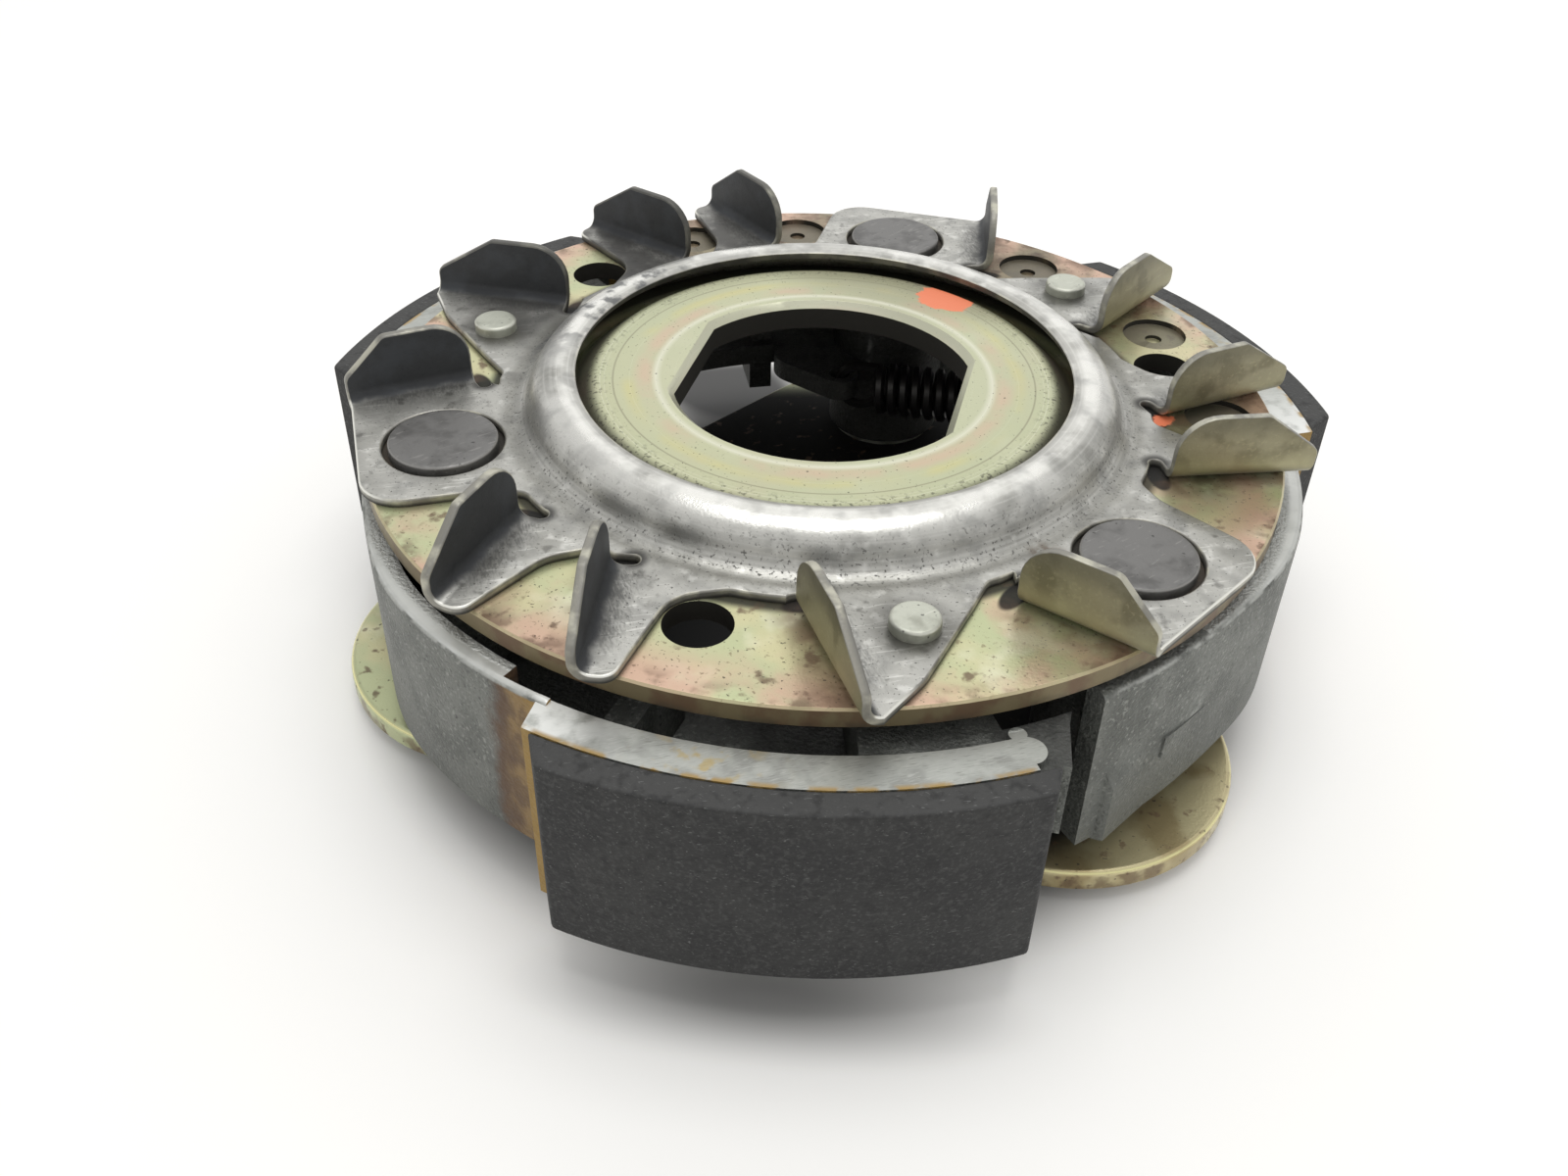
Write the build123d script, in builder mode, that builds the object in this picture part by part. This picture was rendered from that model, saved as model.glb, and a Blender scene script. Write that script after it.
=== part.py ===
from build123d import *
from math import atan2, cos, degrees, hypot, radians, sin, tan
import os

# Shoe carrier of a centrifugal clutch, lying on its pin ends with the cooling fan uppermost.
# Millimetres and degrees, +Z up. The origin is on the clutch axis, in the drive plate's upper face.
# Three equal sectors go round the axis. What belongs to a sector is drawn with its pivot on +X
# and turned into place at the end.

# Sectors
SECTORS = 3
SECTOR_PITCH = 360 / SECTORS
FIRST_PIVOT = 210
PIVOT_RADIUS = 54.8
RUNNING_CLEARANCE = 0.05
END_CLEARANCE = 0.25

# Drive plate: a pressed disc with a raised centre and a double-D hub hole
RIM_MARGIN = 11.2
RIM_RADIUS = PIVOT_RADIUS + RIM_MARGIN
PLATE_THICKNESS = 3.0
DISC_INSET = 21.3
DISC_RADIUS = PIVOT_RADIUS - DISC_INSET
DISC_HEIGHT = 4.6
SHOULDER_RUN = 5.5
SHOULDER_BEND = 2.0
NUT_LAND = 11.5
HUB_RADIUS = DISC_RADIUS - NUT_LAND
FLAT_DEPTH = 2.4
HUB_FLAT = HUB_RADIUS - FLAT_DEPTH
HUB_DEPTH = 4.4
HUB_CHAMFER = 1.0
COLLAR_WALL = 3.5
RIM_CHAMFER = 0.3
TOOL_HOLE_INSET = 0.9
TOOL_HOLE_CIRCLE = PIVOT_RADIUS - TOOL_HOLE_INSET
TOOL_HOLE_RADIUS = 4.4
TOOL_HOLE_ANGLE = 57.2
BALANCE_MARGIN = 8.0
BALANCE_CIRCLE = RIM_RADIUS - BALANCE_MARGIN
BALANCE_RADIUS = 4.95
BALANCE_DEPTH = 0.9
BALANCE_PIP_RADIUS = 1.3
BALANCE_PIP_DEPTH = 1.5
BALANCE_ANGLES = (12.3, 37.4, 65.8, 107.7, 126.5)

# Fan plate: one sheet with a dome round its hole and four folded fins in each sector
FAN_SHEET = 1.2
FOOT_INSET = 9.3
DOME_FOOT = PIVOT_RADIUS - FOOT_INSET
DOME_RUN = 7.8
CREST_RADIUS = DOME_FOOT - DOME_RUN
CREST_HEIGHT = 6.8
CREST_BEND = 5.0
CREST_LIP = 2.0
FAN_HOLE_RADIUS = CREST_RADIUS - CREST_LIP
ROOT_LAND = 2.3
FAN_ROOT = DOME_FOOT + ROOT_LAND
FOLD_BEND = 1.6
FIN_HEIGHT = 10.3
FIN_START = 1.0
FIN_SHOULDER = 13.2
FIN_TIP = 4.6
FIN_ROUND = 5.5
FIN_SHOULDER_ROUND = 1.5
FIN_TIP_ROUND = 1.6
RELIEF_RADIUS = 0.9
HEAD_CLEARANCE = 0.85
BLADE_ROUND = 2.4
BLADE_TIP = 2.4
TAB_PROUD = 1.8
BLADE_SHORT = 3.2
ROOT_ROUND = 3.5
TAB_ROUND = 6.0
# Each fold line runs from a root outside the dome's foot to a tip outside the rim
PIN_FOLD = ((5.89, -20.68), (2.77, -12.73))
FRONT_FOLD = ((4.79, 20.70), (3.35, 29.55))
MIDDLE_FOLD = ((3.67, 39.36), (3.13, 48.43))
RIVET_FOLD = ((2.65, 68.85), (3.34, 76.69))

# Pivot pins and what they hold
PIN_RADIUS = 6.0
PIN_HEAD_MARGIN = 1.55
PIN_HEAD_RADIUS = PIN_RADIUS + PIN_HEAD_MARGIN
PIN_HEAD_HEIGHT = 1.9
PIN_HEAD_ROUND = 0.35
SPIGOT_STEP = 1.0
SPIGOT_RADIUS = PIN_RADIUS - SPIGOT_STEP
PIN_END = -41.0
PIN_CHAMFER = 0.5
WASHER_WALL = 2.95
WASHER_RADIUS = PIN_RADIUS + RUNNING_CLEARANCE + WASHER_WALL
WASHER_THICKNESS = 1.0
SIDE_PLATE_TOP = -35.6
SIDE_PLATE_THICKNESS = 3.0
LOBE_RADIUS = 25.0
LOBE_INSET = 6.8
LOBE_CIRCLE = PIVOT_RADIUS - LOBE_INSET
SIDE_HOLE_INSET = 24.8
SIDE_HOLE_RADIUS = PIVOT_RADIUS - SIDE_HOLE_INSET
SIDE_EDGE_ROUND = 0.8
CLIP_THICKNESS = 1.2
CLIP_WALL = 1.9
CLIP_MARGIN = 2.5
CLIP_RADIUS = SPIGOT_RADIUS + CLIP_MARGIN
CLIP_LUG_WIDTH = 2.4
CLIP_LUGS = 3
CLIP_OPENING = 7.2
GROOVE_DEPTH = 1.0
GROOVE_RADIUS = SPIGOT_RADIUS - GROOVE_DEPTH

# Damper pins: rivets of the fan plate with posts for the rubbers
DAMPER_INSET = 1.2
DAMPER_CIRCLE = PIVOT_RADIUS - DAMPER_INSET
DAMPER_ANGLE = 84.95
RIVET_HEAD_MARGIN = 0.7
RIVET_HEAD_HEIGHT = 1.6
RIVET_HEAD_ROUND = 0.5
RIVET_RADIUS = 2.5
RIVET_HEAD_RADIUS = RIVET_RADIUS + RIVET_HEAD_MARGIN
POST_RADIUS = 3.5
POST_END = -16.0
RUBBER_WALL = 2.5
RUBBER_RADIUS = POST_RADIUS + RUBBER_WALL
RUBBER_GAP = 0.2
RUBBER_TOP = -PLATE_THICKNESS - RUBBER_GAP
POST_PROUD = 1.0
RUBBER_BOTTOM = POST_END + POST_PROUD
RUBBER_ROUND = 1.0

# Shoes: die-cast arms that end in a pad for the lining
ARM_WALL = 3.3
ARM_TOP = -4.2
ARM_BOTTOM = -30.0
ARM_ROUND = 0.9
PAD_SQUARE = 150
PAD_MARGIN = 8.0
PAD_RADIUS = RIM_RADIUS + PAD_MARGIN
PAD_DEPTH = 5.4
PAD_INNER = PAD_RADIUS - PAD_DEPTH
PAD_TOP = -5.6
PAD_BOTTOM = -33.0
PAD_START_ANGLE = -14.3
PAD_END_ANGLE = 34.86
PAD_START = PAD_RADIUS * sin(radians(PAD_START_ANGLE))
PAD_END = PAD_RADIUS * sin(radians(PAD_END_ANGLE))
# Each point of the arm's outer face is a depth inside the pad's face, at an angle
ARM_CURVE = ((7.0, -16.7), (7.3, -4.0), (6.4, 9.0), (5.1, 17.0), (4.5, 28.0), (4.1, 46.0))
NOTCH_START = 40.1
NOTCH_WALL = 1.2
NOTCH_DEPTH = 4.0
LAND_HEIGHT = 1.0
LAND_END = 92.6
LAND_CURL = 2.2
LAND_TOOTH = 1.1
END_BLOCK_LENGTH = 8.3
END_BLOCK_DEPTH = 8.0
NOSE_BOTTOM = -16.6
NOSE_LIP = 1.0
NOSE_DEPTH = 21.1
HEEL_START = -24
HEEL_END = 1
HEEL_DEPTH = 18.0
HEEL_RECESS = 4.8
HEEL_STEP = 2.6
HEEL_TOP = -17.6
HEEL_ROUND = 5.0
# The flange's edge runs straight into the arm, from a recess at one angle to a recess at another
HEEL_EDGE = ((4.6, -18), (7.7, -4))
HEEL_EDGE_REACH = 12
HEEL_FLANGE_TOP = -25.0
HEEL_BOTTOM = -30.5
HEEL_GAP = 1.6
BOSS_RADIUS = 10.0
BRIDGE_OFFSET = 1.2
BRIDGE_DEPTH = 9.0
BRIDGE_START = -10
BRIDGE_END = 6
BRIDGE_BOTTOM = -26.0
BRIDGE_TOP = -8.0
WEB_BOTTOM = -21.8
WEB_THICKNESS = 3.6
WEB_INSET = 4.8
WEB_INNER = PIVOT_RADIUS - WEB_INSET
WEB_DEPTH = 7.0
WEB_OUTER = PAD_RADIUS - WEB_DEPTH
WEB_START = -5
WEB_END = 90
LUG_RADIUS = 3.2
LUG_SHOULDER = 5.0
HEEL_LUG_INSET = 14.8
HEEL_LUG = (PIVOT_RADIUS - HEEL_LUG_INSET, 8)
NOSE_LUG_INSET = 7.8
NOSE_LUG = (PIVOT_RADIUS - NOSE_LUG_INSET, 90)
HEEL_LUG_FOOT = (PIVOT_RADIUS - NOSE_LUG_INSET, 17)
LUG_FOOT_MARGIN = 2.2
NOSE_LUG_FOOT = (PIVOT_RADIUS + LUG_FOOT_MARGIN, 89)
LUG_SIDE_MARGIN = 1.2
NOSE_LUG_SIDE = (PIVOT_RADIUS + LUG_SIDE_MARGIN, 78)
RIB_ANGLES = (25, 52)
RIB_THICKNESS = 4.0
RIB_INSET = 2.8
RIB_INNER = PIVOT_RADIUS - RIB_INSET
RIB_DEPTH = 6.5
RIB_TOP = -8.0
RIB_BOTTOM = -28.0
POCKET_START = 77
POCKET_END = 92
POCKET_DEPTH = 5.0
POCKET_TOP = -6.0
POCKET_FLOOR = -17.0
POCKET_CLEARANCE = 0.3
POCKET_TRAVEL = 8.0

# Linings: glued to the pads and ground to the radius of the bell that they swing out to
LINING_SETBACK = 0.9
LINING_SLANT = 28
LINING_THICKNESS = 6.2
BELL_RADIUS = PAD_RADIUS + LINING_THICKNESS
ENGAGED_SWING = 2.5

# Springs: from each shoe's nose to the heel of the next shoe
SPRING_WIRE = 1.8
HOOK_CLEARANCE = 0.9
HOOK_HOLE_RADIUS = SPRING_WIRE / 2 + HOOK_CLEARANCE
COIL_RADIUS = 3.8
COIL_TURNS = 7
WIRE_SIDES = 6
HOOK_ARC = 250


def polar(radius, angle):
    """Point at a radius and an angle from +X."""
    return (radius * cos(radians(angle)), radius * sin(radians(angle)))


def square(along, across):
    """Point measured along and across the pad, whose ends are square to its run."""
    return (
        along * cos(radians(PAD_SQUARE)) - across * sin(radians(PAD_SQUARE)),
        along * sin(radians(PAD_SQUARE)) + across * cos(radians(PAD_SQUARE)),
    )


def upright(angle, origin=(0, 0, 0)):
    """Vertical plane with its x axis at an angle from +X and its y axis up."""
    return Plane(
        origin=origin,
        x_dir=(cos(radians(angle)), sin(radians(angle)), 0),
        z_dir=(sin(radians(angle)), -cos(radians(angle)), 0),
    )


def level(height):
    """Horizontal plane at a height."""
    return Plane.XY.offset(height)


def ring_sector(inner, outer, start, end):
    """Sector of a ring between two angles."""
    with BuildSketch() as sector:
        with BuildLine():
            CenterArc((0, 0), inner, start, end - start)
            CenterArc((0, 0), outer, start, end - start)
            Line(polar(inner, start), polar(outer, start))
            Line(polar(inner, end), polar(outer, end))
        make_face()
    return sector.sketch


def hull_of(*circles):
    """Draw the hull of circles, each given as a radius and a centre, in the open sketch."""
    for radius, centre in circles:
        with Locations(centre):
            Circle(radius)
    make_hull()


def keep(piece, name):
    """Label a finished piece and write its file."""
    piece.label = name
    export_step(piece, f"parts/{name}.step")


def keep_each(piece, name):
    """Write one copy of a sector's piece for each sector."""
    for index in range(SECTORS):
        turned = piece.rotate(Axis.Z, FIRST_PIVOT + index * SECTOR_PITCH)
        keep(turned, f"{name}_{index + 1}")


os.makedirs("parts", exist_ok=True)

pivot = (PIVOT_RADIUS, 0)
pivot_axis = Axis((PIVOT_RADIUS, 0, 0), (0, 0, 1))
damper = polar(DAMPER_CIRCLE, DAMPER_ANGLE)
damper_axis = Axis((*damper, 0), (0, 0, 1))

# Drive plate
shoulder_foot = DISC_RADIUS + SHOULDER_RUN
shoulder_inset = PLATE_THICKNESS * tan(atan2(DISC_HEIGHT, SHOULDER_RUN) / 2)
collar_radius = HUB_RADIUS + COLLAR_WALL
with BuildPart() as drive_plate:
    with BuildSketch(Plane.XZ):
        with BuildLine():
            FilletPolyline(
                (0, DISC_HEIGHT),
                (DISC_RADIUS, DISC_HEIGHT),
                (shoulder_foot, 0),
                (RIM_RADIUS, 0),
                (RIM_RADIUS, -PLATE_THICKNESS),
                (shoulder_foot - shoulder_inset, -PLATE_THICKNESS),
                (DISC_RADIUS - shoulder_inset, DISC_HEIGHT - PLATE_THICKNESS),
                (collar_radius, DISC_HEIGHT - PLATE_THICKNESS),
                (collar_radius, DISC_HEIGHT - HUB_DEPTH),
                (0, DISC_HEIGHT - HUB_DEPTH),
                radius=(0, SHOULDER_BEND, SHOULDER_BEND, 0, 0, SHOULDER_BEND, SHOULDER_BEND, 0, 0, 0),
                close=True,
            )
        make_face()
    revolve(axis=Axis.Z)
    chamfer(drive_plate.edges().filter_by(GeomType.CIRCLE).group_by(SortBy.RADIUS)[-1], RIM_CHAMFER)
    with BuildSketch(level(DISC_HEIGHT)):
        Circle(HUB_RADIUS)
        Rectangle(2 * HUB_FLAT, 2 * HUB_RADIUS, mode=Mode.INTERSECT)
    extrude(amount=-HUB_DEPTH, mode=Mode.SUBTRACT)
    hub_edges = drive_plate.faces().sort_by(Axis.Z)[-1].inner_wires()[0].edges()
    chamfer(hub_edges, HUB_CHAMFER)
    with BuildSketch():
        with PolarLocations(TOOL_HOLE_CIRCLE, SECTORS, start_angle=FIRST_PIVOT + TOOL_HOLE_ANGLE):
            Circle(TOOL_HOLE_RADIUS)
        with PolarLocations(PIVOT_RADIUS, SECTORS, start_angle=FIRST_PIVOT):
            Circle(PIN_RADIUS)
        with PolarLocations(DAMPER_CIRCLE, SECTORS, start_angle=FIRST_PIVOT + DAMPER_ANGLE):
            Circle(RIVET_RADIUS)
    extrude(amount=-PLATE_THICKNESS, mode=Mode.SUBTRACT)
    with BuildSketch():
        with Locations([polar(BALANCE_CIRCLE, angle) for angle in BALANCE_ANGLES]):
            Circle(BALANCE_RADIUS)
    extrude(amount=-BALANCE_DEPTH, mode=Mode.SUBTRACT)
    with BuildSketch():
        with Locations([polar(BALANCE_CIRCLE, angle) for angle in BALANCE_ANGLES]):
            Circle(BALANCE_PIP_RADIUS)
    extrude(amount=-BALANCE_PIP_DEPTH, mode=Mode.SUBTRACT)
keep(drive_plate.part, "drive_plate")

# Fan plate
fold_depth = FOLD_BEND + FAN_SHEET


def fold_line(root, tip):
    """Fold line from a root measured from the dome's foot to a tip measured from the rim."""
    return (polar(DOME_FOOT + root[0], root[1]), polar(RIM_RADIUS + tip[0], tip[1]))


def fold_angle(fold):
    """Direction of a fold line, from its root to its tip."""
    (root_x, root_y), (tip_x, tip_y) = fold
    return degrees(atan2(tip_y - root_y, tip_x - root_x))


def fold_length(fold):
    """Length of a fold line."""
    (root_x, root_y), (tip_x, tip_y) = fold
    return hypot(tip_x - root_x, tip_y - root_y)


def flat_edge(fold):
    """Points where the flat sheet ends and the bend of a fin starts."""
    shift_x, shift_y = polar(fold_depth, fold_angle(fold) + 90)
    return [(x + shift_x, y + shift_y) for x, y in fold]


def blade_corner(fold):
    """Outer corner of a narrow blade, level with its tip."""
    shift_x, shift_y = polar(fold_depth + BLADE_TIP, fold_angle(fold) + 90)
    return (fold[1][0] + shift_x, fold[1][1] + shift_y)


def relief(fold):
    """Short slot that frees a fold's root from the flat sheet."""
    side_x, side_y = polar(fold_depth + RELIEF_RADIUS, fold_angle(fold) + 90)
    with BuildSketch() as slot:
        hull_of((RELIEF_RADIUS, fold[0]), (RELIEF_RADIUS, (fold[0][0] + side_x, fold[0][1] + side_y)))
    return slot.sketch


def fin(fold):
    """One fin: a bend along the fold line with a rounded, sloping blade above it."""
    run = fold_length(fold)
    direction = fold_angle(fold)
    root = (*fold[0], 0)
    with BuildPart() as blade:
        with BuildSketch(upright(direction + 90, root)):
            with BuildLine():
                bend_outer = CenterArc((fold_depth, fold_depth), fold_depth, 180, 90)
                bend_inner = CenterArc((fold_depth, fold_depth), FOLD_BEND, 180, 90)
                Polyline(bend_outer @ 0, (0, FIN_HEIGHT), (FAN_SHEET, FIN_HEIGHT), bend_inner @ 0)
                Polyline(bend_outer @ 1, (fold_depth + FOLD_BEND, 0), (fold_depth + FOLD_BEND, FAN_SHEET), bend_inner @ 1)
            make_face()
        extrude(amount=run)
        with BuildSketch(upright(direction, root)):
            with BuildLine():
                FilletPolyline(
                    (FIN_START, 0),
                    (FIN_START, FIN_HEIGHT),
                    (FIN_SHOULDER, FIN_HEIGHT),
                    (run, FIN_TIP),
                    (run, 0),
                    radius=(0, FIN_ROUND, FIN_SHOULDER_ROUND, FIN_TIP_ROUND, 0),
                    close=True,
                )
            make_face()
        extrude(amount=-2 * fold_depth, mode=Mode.INTERSECT)
    return blade.part


pin_fold = fold_line(*PIN_FOLD)
front_fold = fold_line(*FRONT_FOLD)
middle_fold = fold_line(*MIDDLE_FOLD)
rivet_fold = fold_line(*RIVET_FOLD)
folds = (pin_fold, front_fold, middle_fold, rivet_fold)
with BuildSketch() as pin_tab:
    with BuildLine():
        FilletPolyline(
            polar(DOME_FOOT, -16),
            *flat_edge(pin_fold),
            polar(RIM_RADIUS + TAB_PROUD, 10.9),
            polar(FAN_ROOT + ROOT_ROUND, 14.7),
            polar(DOME_FOOT, 20),
            radius=(0, 0, 0, TAB_ROUND, ROOT_ROUND, 0),
            close=True,
        )
    make_face()

with BuildSketch() as front_blade:
    with BuildLine():
        FilletPolyline(
            polar(DOME_FOOT, 25),
            *flat_edge(front_fold),
            blade_corner(front_fold),
            polar(FAN_ROOT + ROOT_ROUND + BLADE_TIP, 33.1),
            polar(DOME_FOOT, 39),
            radius=(0, 0, 0, BLADE_ROUND, ROOT_ROUND, 0),
            close=True,
        )
    make_face()

with BuildSketch() as middle_blade:
    with BuildLine():
        FilletPolyline(
            polar(DOME_FOOT, 44),
            *flat_edge(middle_fold),
            blade_corner(middle_fold),
            polar(FAN_ROOT + ROOT_ROUND, 52.3),
            polar(DOME_FOOT, 66),
            radius=(0, 0, 0, BLADE_ROUND, ROOT_ROUND, 0),
            close=True,
        )
    make_face()

with BuildSketch() as rivet_blade:
    with BuildLine():
        FilletPolyline(
            polar(DOME_FOOT, 74),
            *flat_edge(rivet_fold),
            polar(RIM_RADIUS - BLADE_SHORT, 84.0),
            polar(FAN_ROOT + ROOT_ROUND, 94.2),
            polar(DOME_FOOT, 102),
            radius=(0, 0, 0, 2 * TAB_ROUND, ROOT_ROUND, 0),
            close=True,
        )
    make_face()

dome_rise = CREST_HEIGHT - FAN_SHEET
dome_run = DOME_FOOT - CREST_RADIUS
foot_bend = (dome_run**2 + dome_rise**2) / (2 * dome_rise) - CREST_BEND
crest_centre = (CREST_RADIUS, CREST_HEIGHT - CREST_BEND)
foot_centre = (DOME_FOOT, FAN_SHEET + foot_bend)
slope = degrees(atan2(foot_centre[1] - crest_centre[1], dome_run))
lip = degrees(atan2((CREST_BEND**2 - (CREST_RADIUS - FAN_HOLE_RADIUS) ** 2) ** 0.5, FAN_HOLE_RADIUS - CREST_RADIUS))
with BuildPart() as fan_plate:
    with BuildSketch():
        Circle(FAN_ROOT)
        with PolarLocations(0, SECTORS, start_angle=FIRST_PIVOT):
            add(pin_tab.sketch)
            add(front_blade.sketch)
            add(middle_blade.sketch)
            add(rivet_blade.sketch)
            for fold in folds:
                add(relief(fold), mode=Mode.SUBTRACT)
        Circle(DOME_FOOT, mode=Mode.SUBTRACT)
        with PolarLocations(PIVOT_RADIUS, SECTORS, start_angle=FIRST_PIVOT):
            Circle(PIN_HEAD_RADIUS + HEAD_CLEARANCE, mode=Mode.SUBTRACT)
        with PolarLocations(DAMPER_CIRCLE, SECTORS, start_angle=FIRST_PIVOT + DAMPER_ANGLE):
            Circle(RIVET_RADIUS, mode=Mode.SUBTRACT)
    extrude(amount=FAN_SHEET)
    with BuildSketch(Plane.XZ):
        with BuildLine():
            crest_top = CenterArc(crest_centre, CREST_BEND, slope, lip - slope)
            foot_top = CenterArc(foot_centre, foot_bend, 180 + slope, 90 - slope)
            crest_under = CenterArc(crest_centre, CREST_BEND - FAN_SHEET, slope, lip - slope)
            foot_under = CenterArc(foot_centre, foot_bend + FAN_SHEET, 180 + slope, 90 - slope)
            Line(crest_top @ 1, crest_under @ 1)
            Line(foot_top @ 1, foot_under @ 1)
        make_face()
    revolve(axis=Axis.Z)
    with PolarLocations(0, SECTORS, start_angle=FIRST_PIVOT):
        for fold in folds:
            add(fin(fold))
keep(fan_plate.part, "fan_plate")

# Side plate
with BuildPart() as side_plate:
    with BuildSketch(level(SIDE_PLATE_TOP - SIDE_PLATE_THICKNESS)):
        with PolarLocations(LOBE_CIRCLE, SECTORS, start_angle=FIRST_PIVOT):
            Circle(LOBE_RADIUS)
        make_hull()
        Circle(SIDE_HOLE_RADIUS, mode=Mode.SUBTRACT)
        with PolarLocations(PIVOT_RADIUS, SECTORS, start_angle=FIRST_PIVOT):
            Circle(SPIGOT_RADIUS, mode=Mode.SUBTRACT)
    extrude(amount=SIDE_PLATE_THICKNESS)
    outer_edges = side_plate.faces().sort_by(Axis.Z)[-1].outer_wire().edges()
    fillet(outer_edges, SIDE_EDGE_ROUND)
keep(side_plate.part, "side_plate")

# Pivot pins
side_plate_under = SIDE_PLATE_TOP - SIDE_PLATE_THICKNESS
groove_bottom = side_plate_under - CLIP_THICKNESS
with BuildPart() as pivot_pin:
    with BuildSketch(upright(0, (*pivot, 0))):
        with BuildLine():
            FilletPolyline(
                (0, PIN_HEAD_HEIGHT),
                (PIN_HEAD_RADIUS, PIN_HEAD_HEIGHT),
                (PIN_HEAD_RADIUS, 0),
                (PIN_RADIUS, 0),
                (PIN_RADIUS, SIDE_PLATE_TOP),
                (SPIGOT_RADIUS, SIDE_PLATE_TOP),
                (SPIGOT_RADIUS, side_plate_under),
                (GROOVE_RADIUS, side_plate_under),
                (GROOVE_RADIUS, groove_bottom),
                (SPIGOT_RADIUS, groove_bottom),
                (SPIGOT_RADIUS, PIN_END + PIN_CHAMFER),
                (SPIGOT_RADIUS - PIN_CHAMFER, PIN_END),
                (0, PIN_END),
                radius=(0, PIN_HEAD_ROUND, 0, 0, 0, 0, 0, 0, 0, 0, 0, 0, 0),
                close=True,
            )
        make_face()
    revolve(axis=pivot_axis)
keep_each(pivot_pin.part, "pivot_pin")

# Washers
with BuildPart() as washer:
    with BuildSketch(level(SIDE_PLATE_TOP)):
        with Locations(pivot):
            Circle(WASHER_RADIUS)
            Circle(PIN_RADIUS + RUNNING_CLEARANCE, mode=Mode.SUBTRACT)
    extrude(amount=WASHER_THICKNESS)
keep_each(washer.part, "washer")

# Clips: open rings with three lugs in the pin's groove
with BuildPart() as clip:
    with BuildSketch(level(groove_bottom)):
        with Locations(pivot):
            Circle(CLIP_RADIUS)
            Circle(CLIP_RADIUS - CLIP_WALL, mode=Mode.SUBTRACT)
            with PolarLocations(0, CLIP_LUGS, start_angle=90, angular_range=180, endpoint=True):
                Rectangle(CLIP_RADIUS - CLIP_WALL / 2, CLIP_LUG_WIDTH, align=(Align.MIN, Align.CENTER))
            Circle(GROOVE_RADIUS, mode=Mode.SUBTRACT)
            Rectangle(CLIP_RADIUS, CLIP_OPENING, align=(Align.MIN, Align.CENTER), mode=Mode.SUBTRACT)
    extrude(amount=CLIP_THICKNESS)
keep_each(clip.part, "clip")

# Damper pins
with BuildPart() as damper_pin:
    with BuildSketch(upright(0, (*damper, 0))):
        with BuildLine():
            FilletPolyline(
                (0, FAN_SHEET + RIVET_HEAD_HEIGHT),
                (RIVET_HEAD_RADIUS, FAN_SHEET + RIVET_HEAD_HEIGHT),
                (RIVET_HEAD_RADIUS, FAN_SHEET),
                (RIVET_RADIUS, FAN_SHEET),
                (RIVET_RADIUS, -PLATE_THICKNESS),
                (POST_RADIUS, -PLATE_THICKNESS),
                (POST_RADIUS, POST_END),
                (0, POST_END),
                radius=(0, RIVET_HEAD_ROUND, 0, 0, 0, 0, 0, 0),
                close=True,
            )
        make_face()
    revolve(axis=damper_axis)
keep_each(damper_pin.part, "damper_pin")

# Damper rubbers
with BuildPart() as damper_rubber:
    with BuildSketch(level(RUBBER_BOTTOM)):
        with Locations(damper):
            Circle(RUBBER_RADIUS)
            Circle(POST_RADIUS, mode=Mode.SUBTRACT)
    extrude(amount=RUBBER_TOP - RUBBER_BOTTOM)
    rubber_edges = damper_rubber.edges().filter_by(GeomType.CIRCLE).group_by(SortBy.RADIUS)[-1]
    fillet(rubber_edges.group_by(Axis.Z)[0], RUBBER_ROUND)
keep_each(damper_rubber.part, "damper_rubber")

# Shoes
arm_outer = [polar(PAD_RADIUS - depth, angle) for depth, angle in ARM_CURVE]
arm_inner = [polar(PAD_RADIUS - depth - ARM_WALL, angle) for depth, angle in ARM_CURVE]
boss_bottom = SIDE_PLATE_TOP + WASHER_THICKNESS + END_CLEARANCE
boss_top = -PLATE_THICKNESS - END_CLEARANCE
pocket_radius = RUBBER_RADIUS + POCKET_CLEARANCE
pocket_direction = degrees(atan2(damper[1], damper[0] - PIVOT_RADIUS)) + 90
pocket_inner = (
    damper[0] + POCKET_TRAVEL * cos(radians(pocket_direction)),
    damper[1] + POCKET_TRAVEL * sin(radians(pocket_direction)),
)
nose_hook = polar(*NOSE_LUG)
heel_hook = polar(*HEEL_LUG)
rib_length = PAD_RADIUS - RIB_DEPTH - RIB_INNER
pad_run = PAD_END - PAD_START
pad_middle = (PAD_START + PAD_END) / 2
end_block_start = PAD_END - END_BLOCK_LENGTH
end_block_inner = PAD_RADIUS - END_BLOCK_DEPTH
nose_inner = NOSE_DEPTH - PAD_RADIUS
nose_reach = PAD_END + NOSE_LIP
nose_arc = -((PAD_RADIUS**2 - nose_reach**2) ** 0.5)
heel_inner = PAD_RADIUS - HEEL_DEPTH
heel_outer = PAD_RADIUS - HEEL_RECESS
heel_ledge = heel_outer - HEEL_STEP
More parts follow.
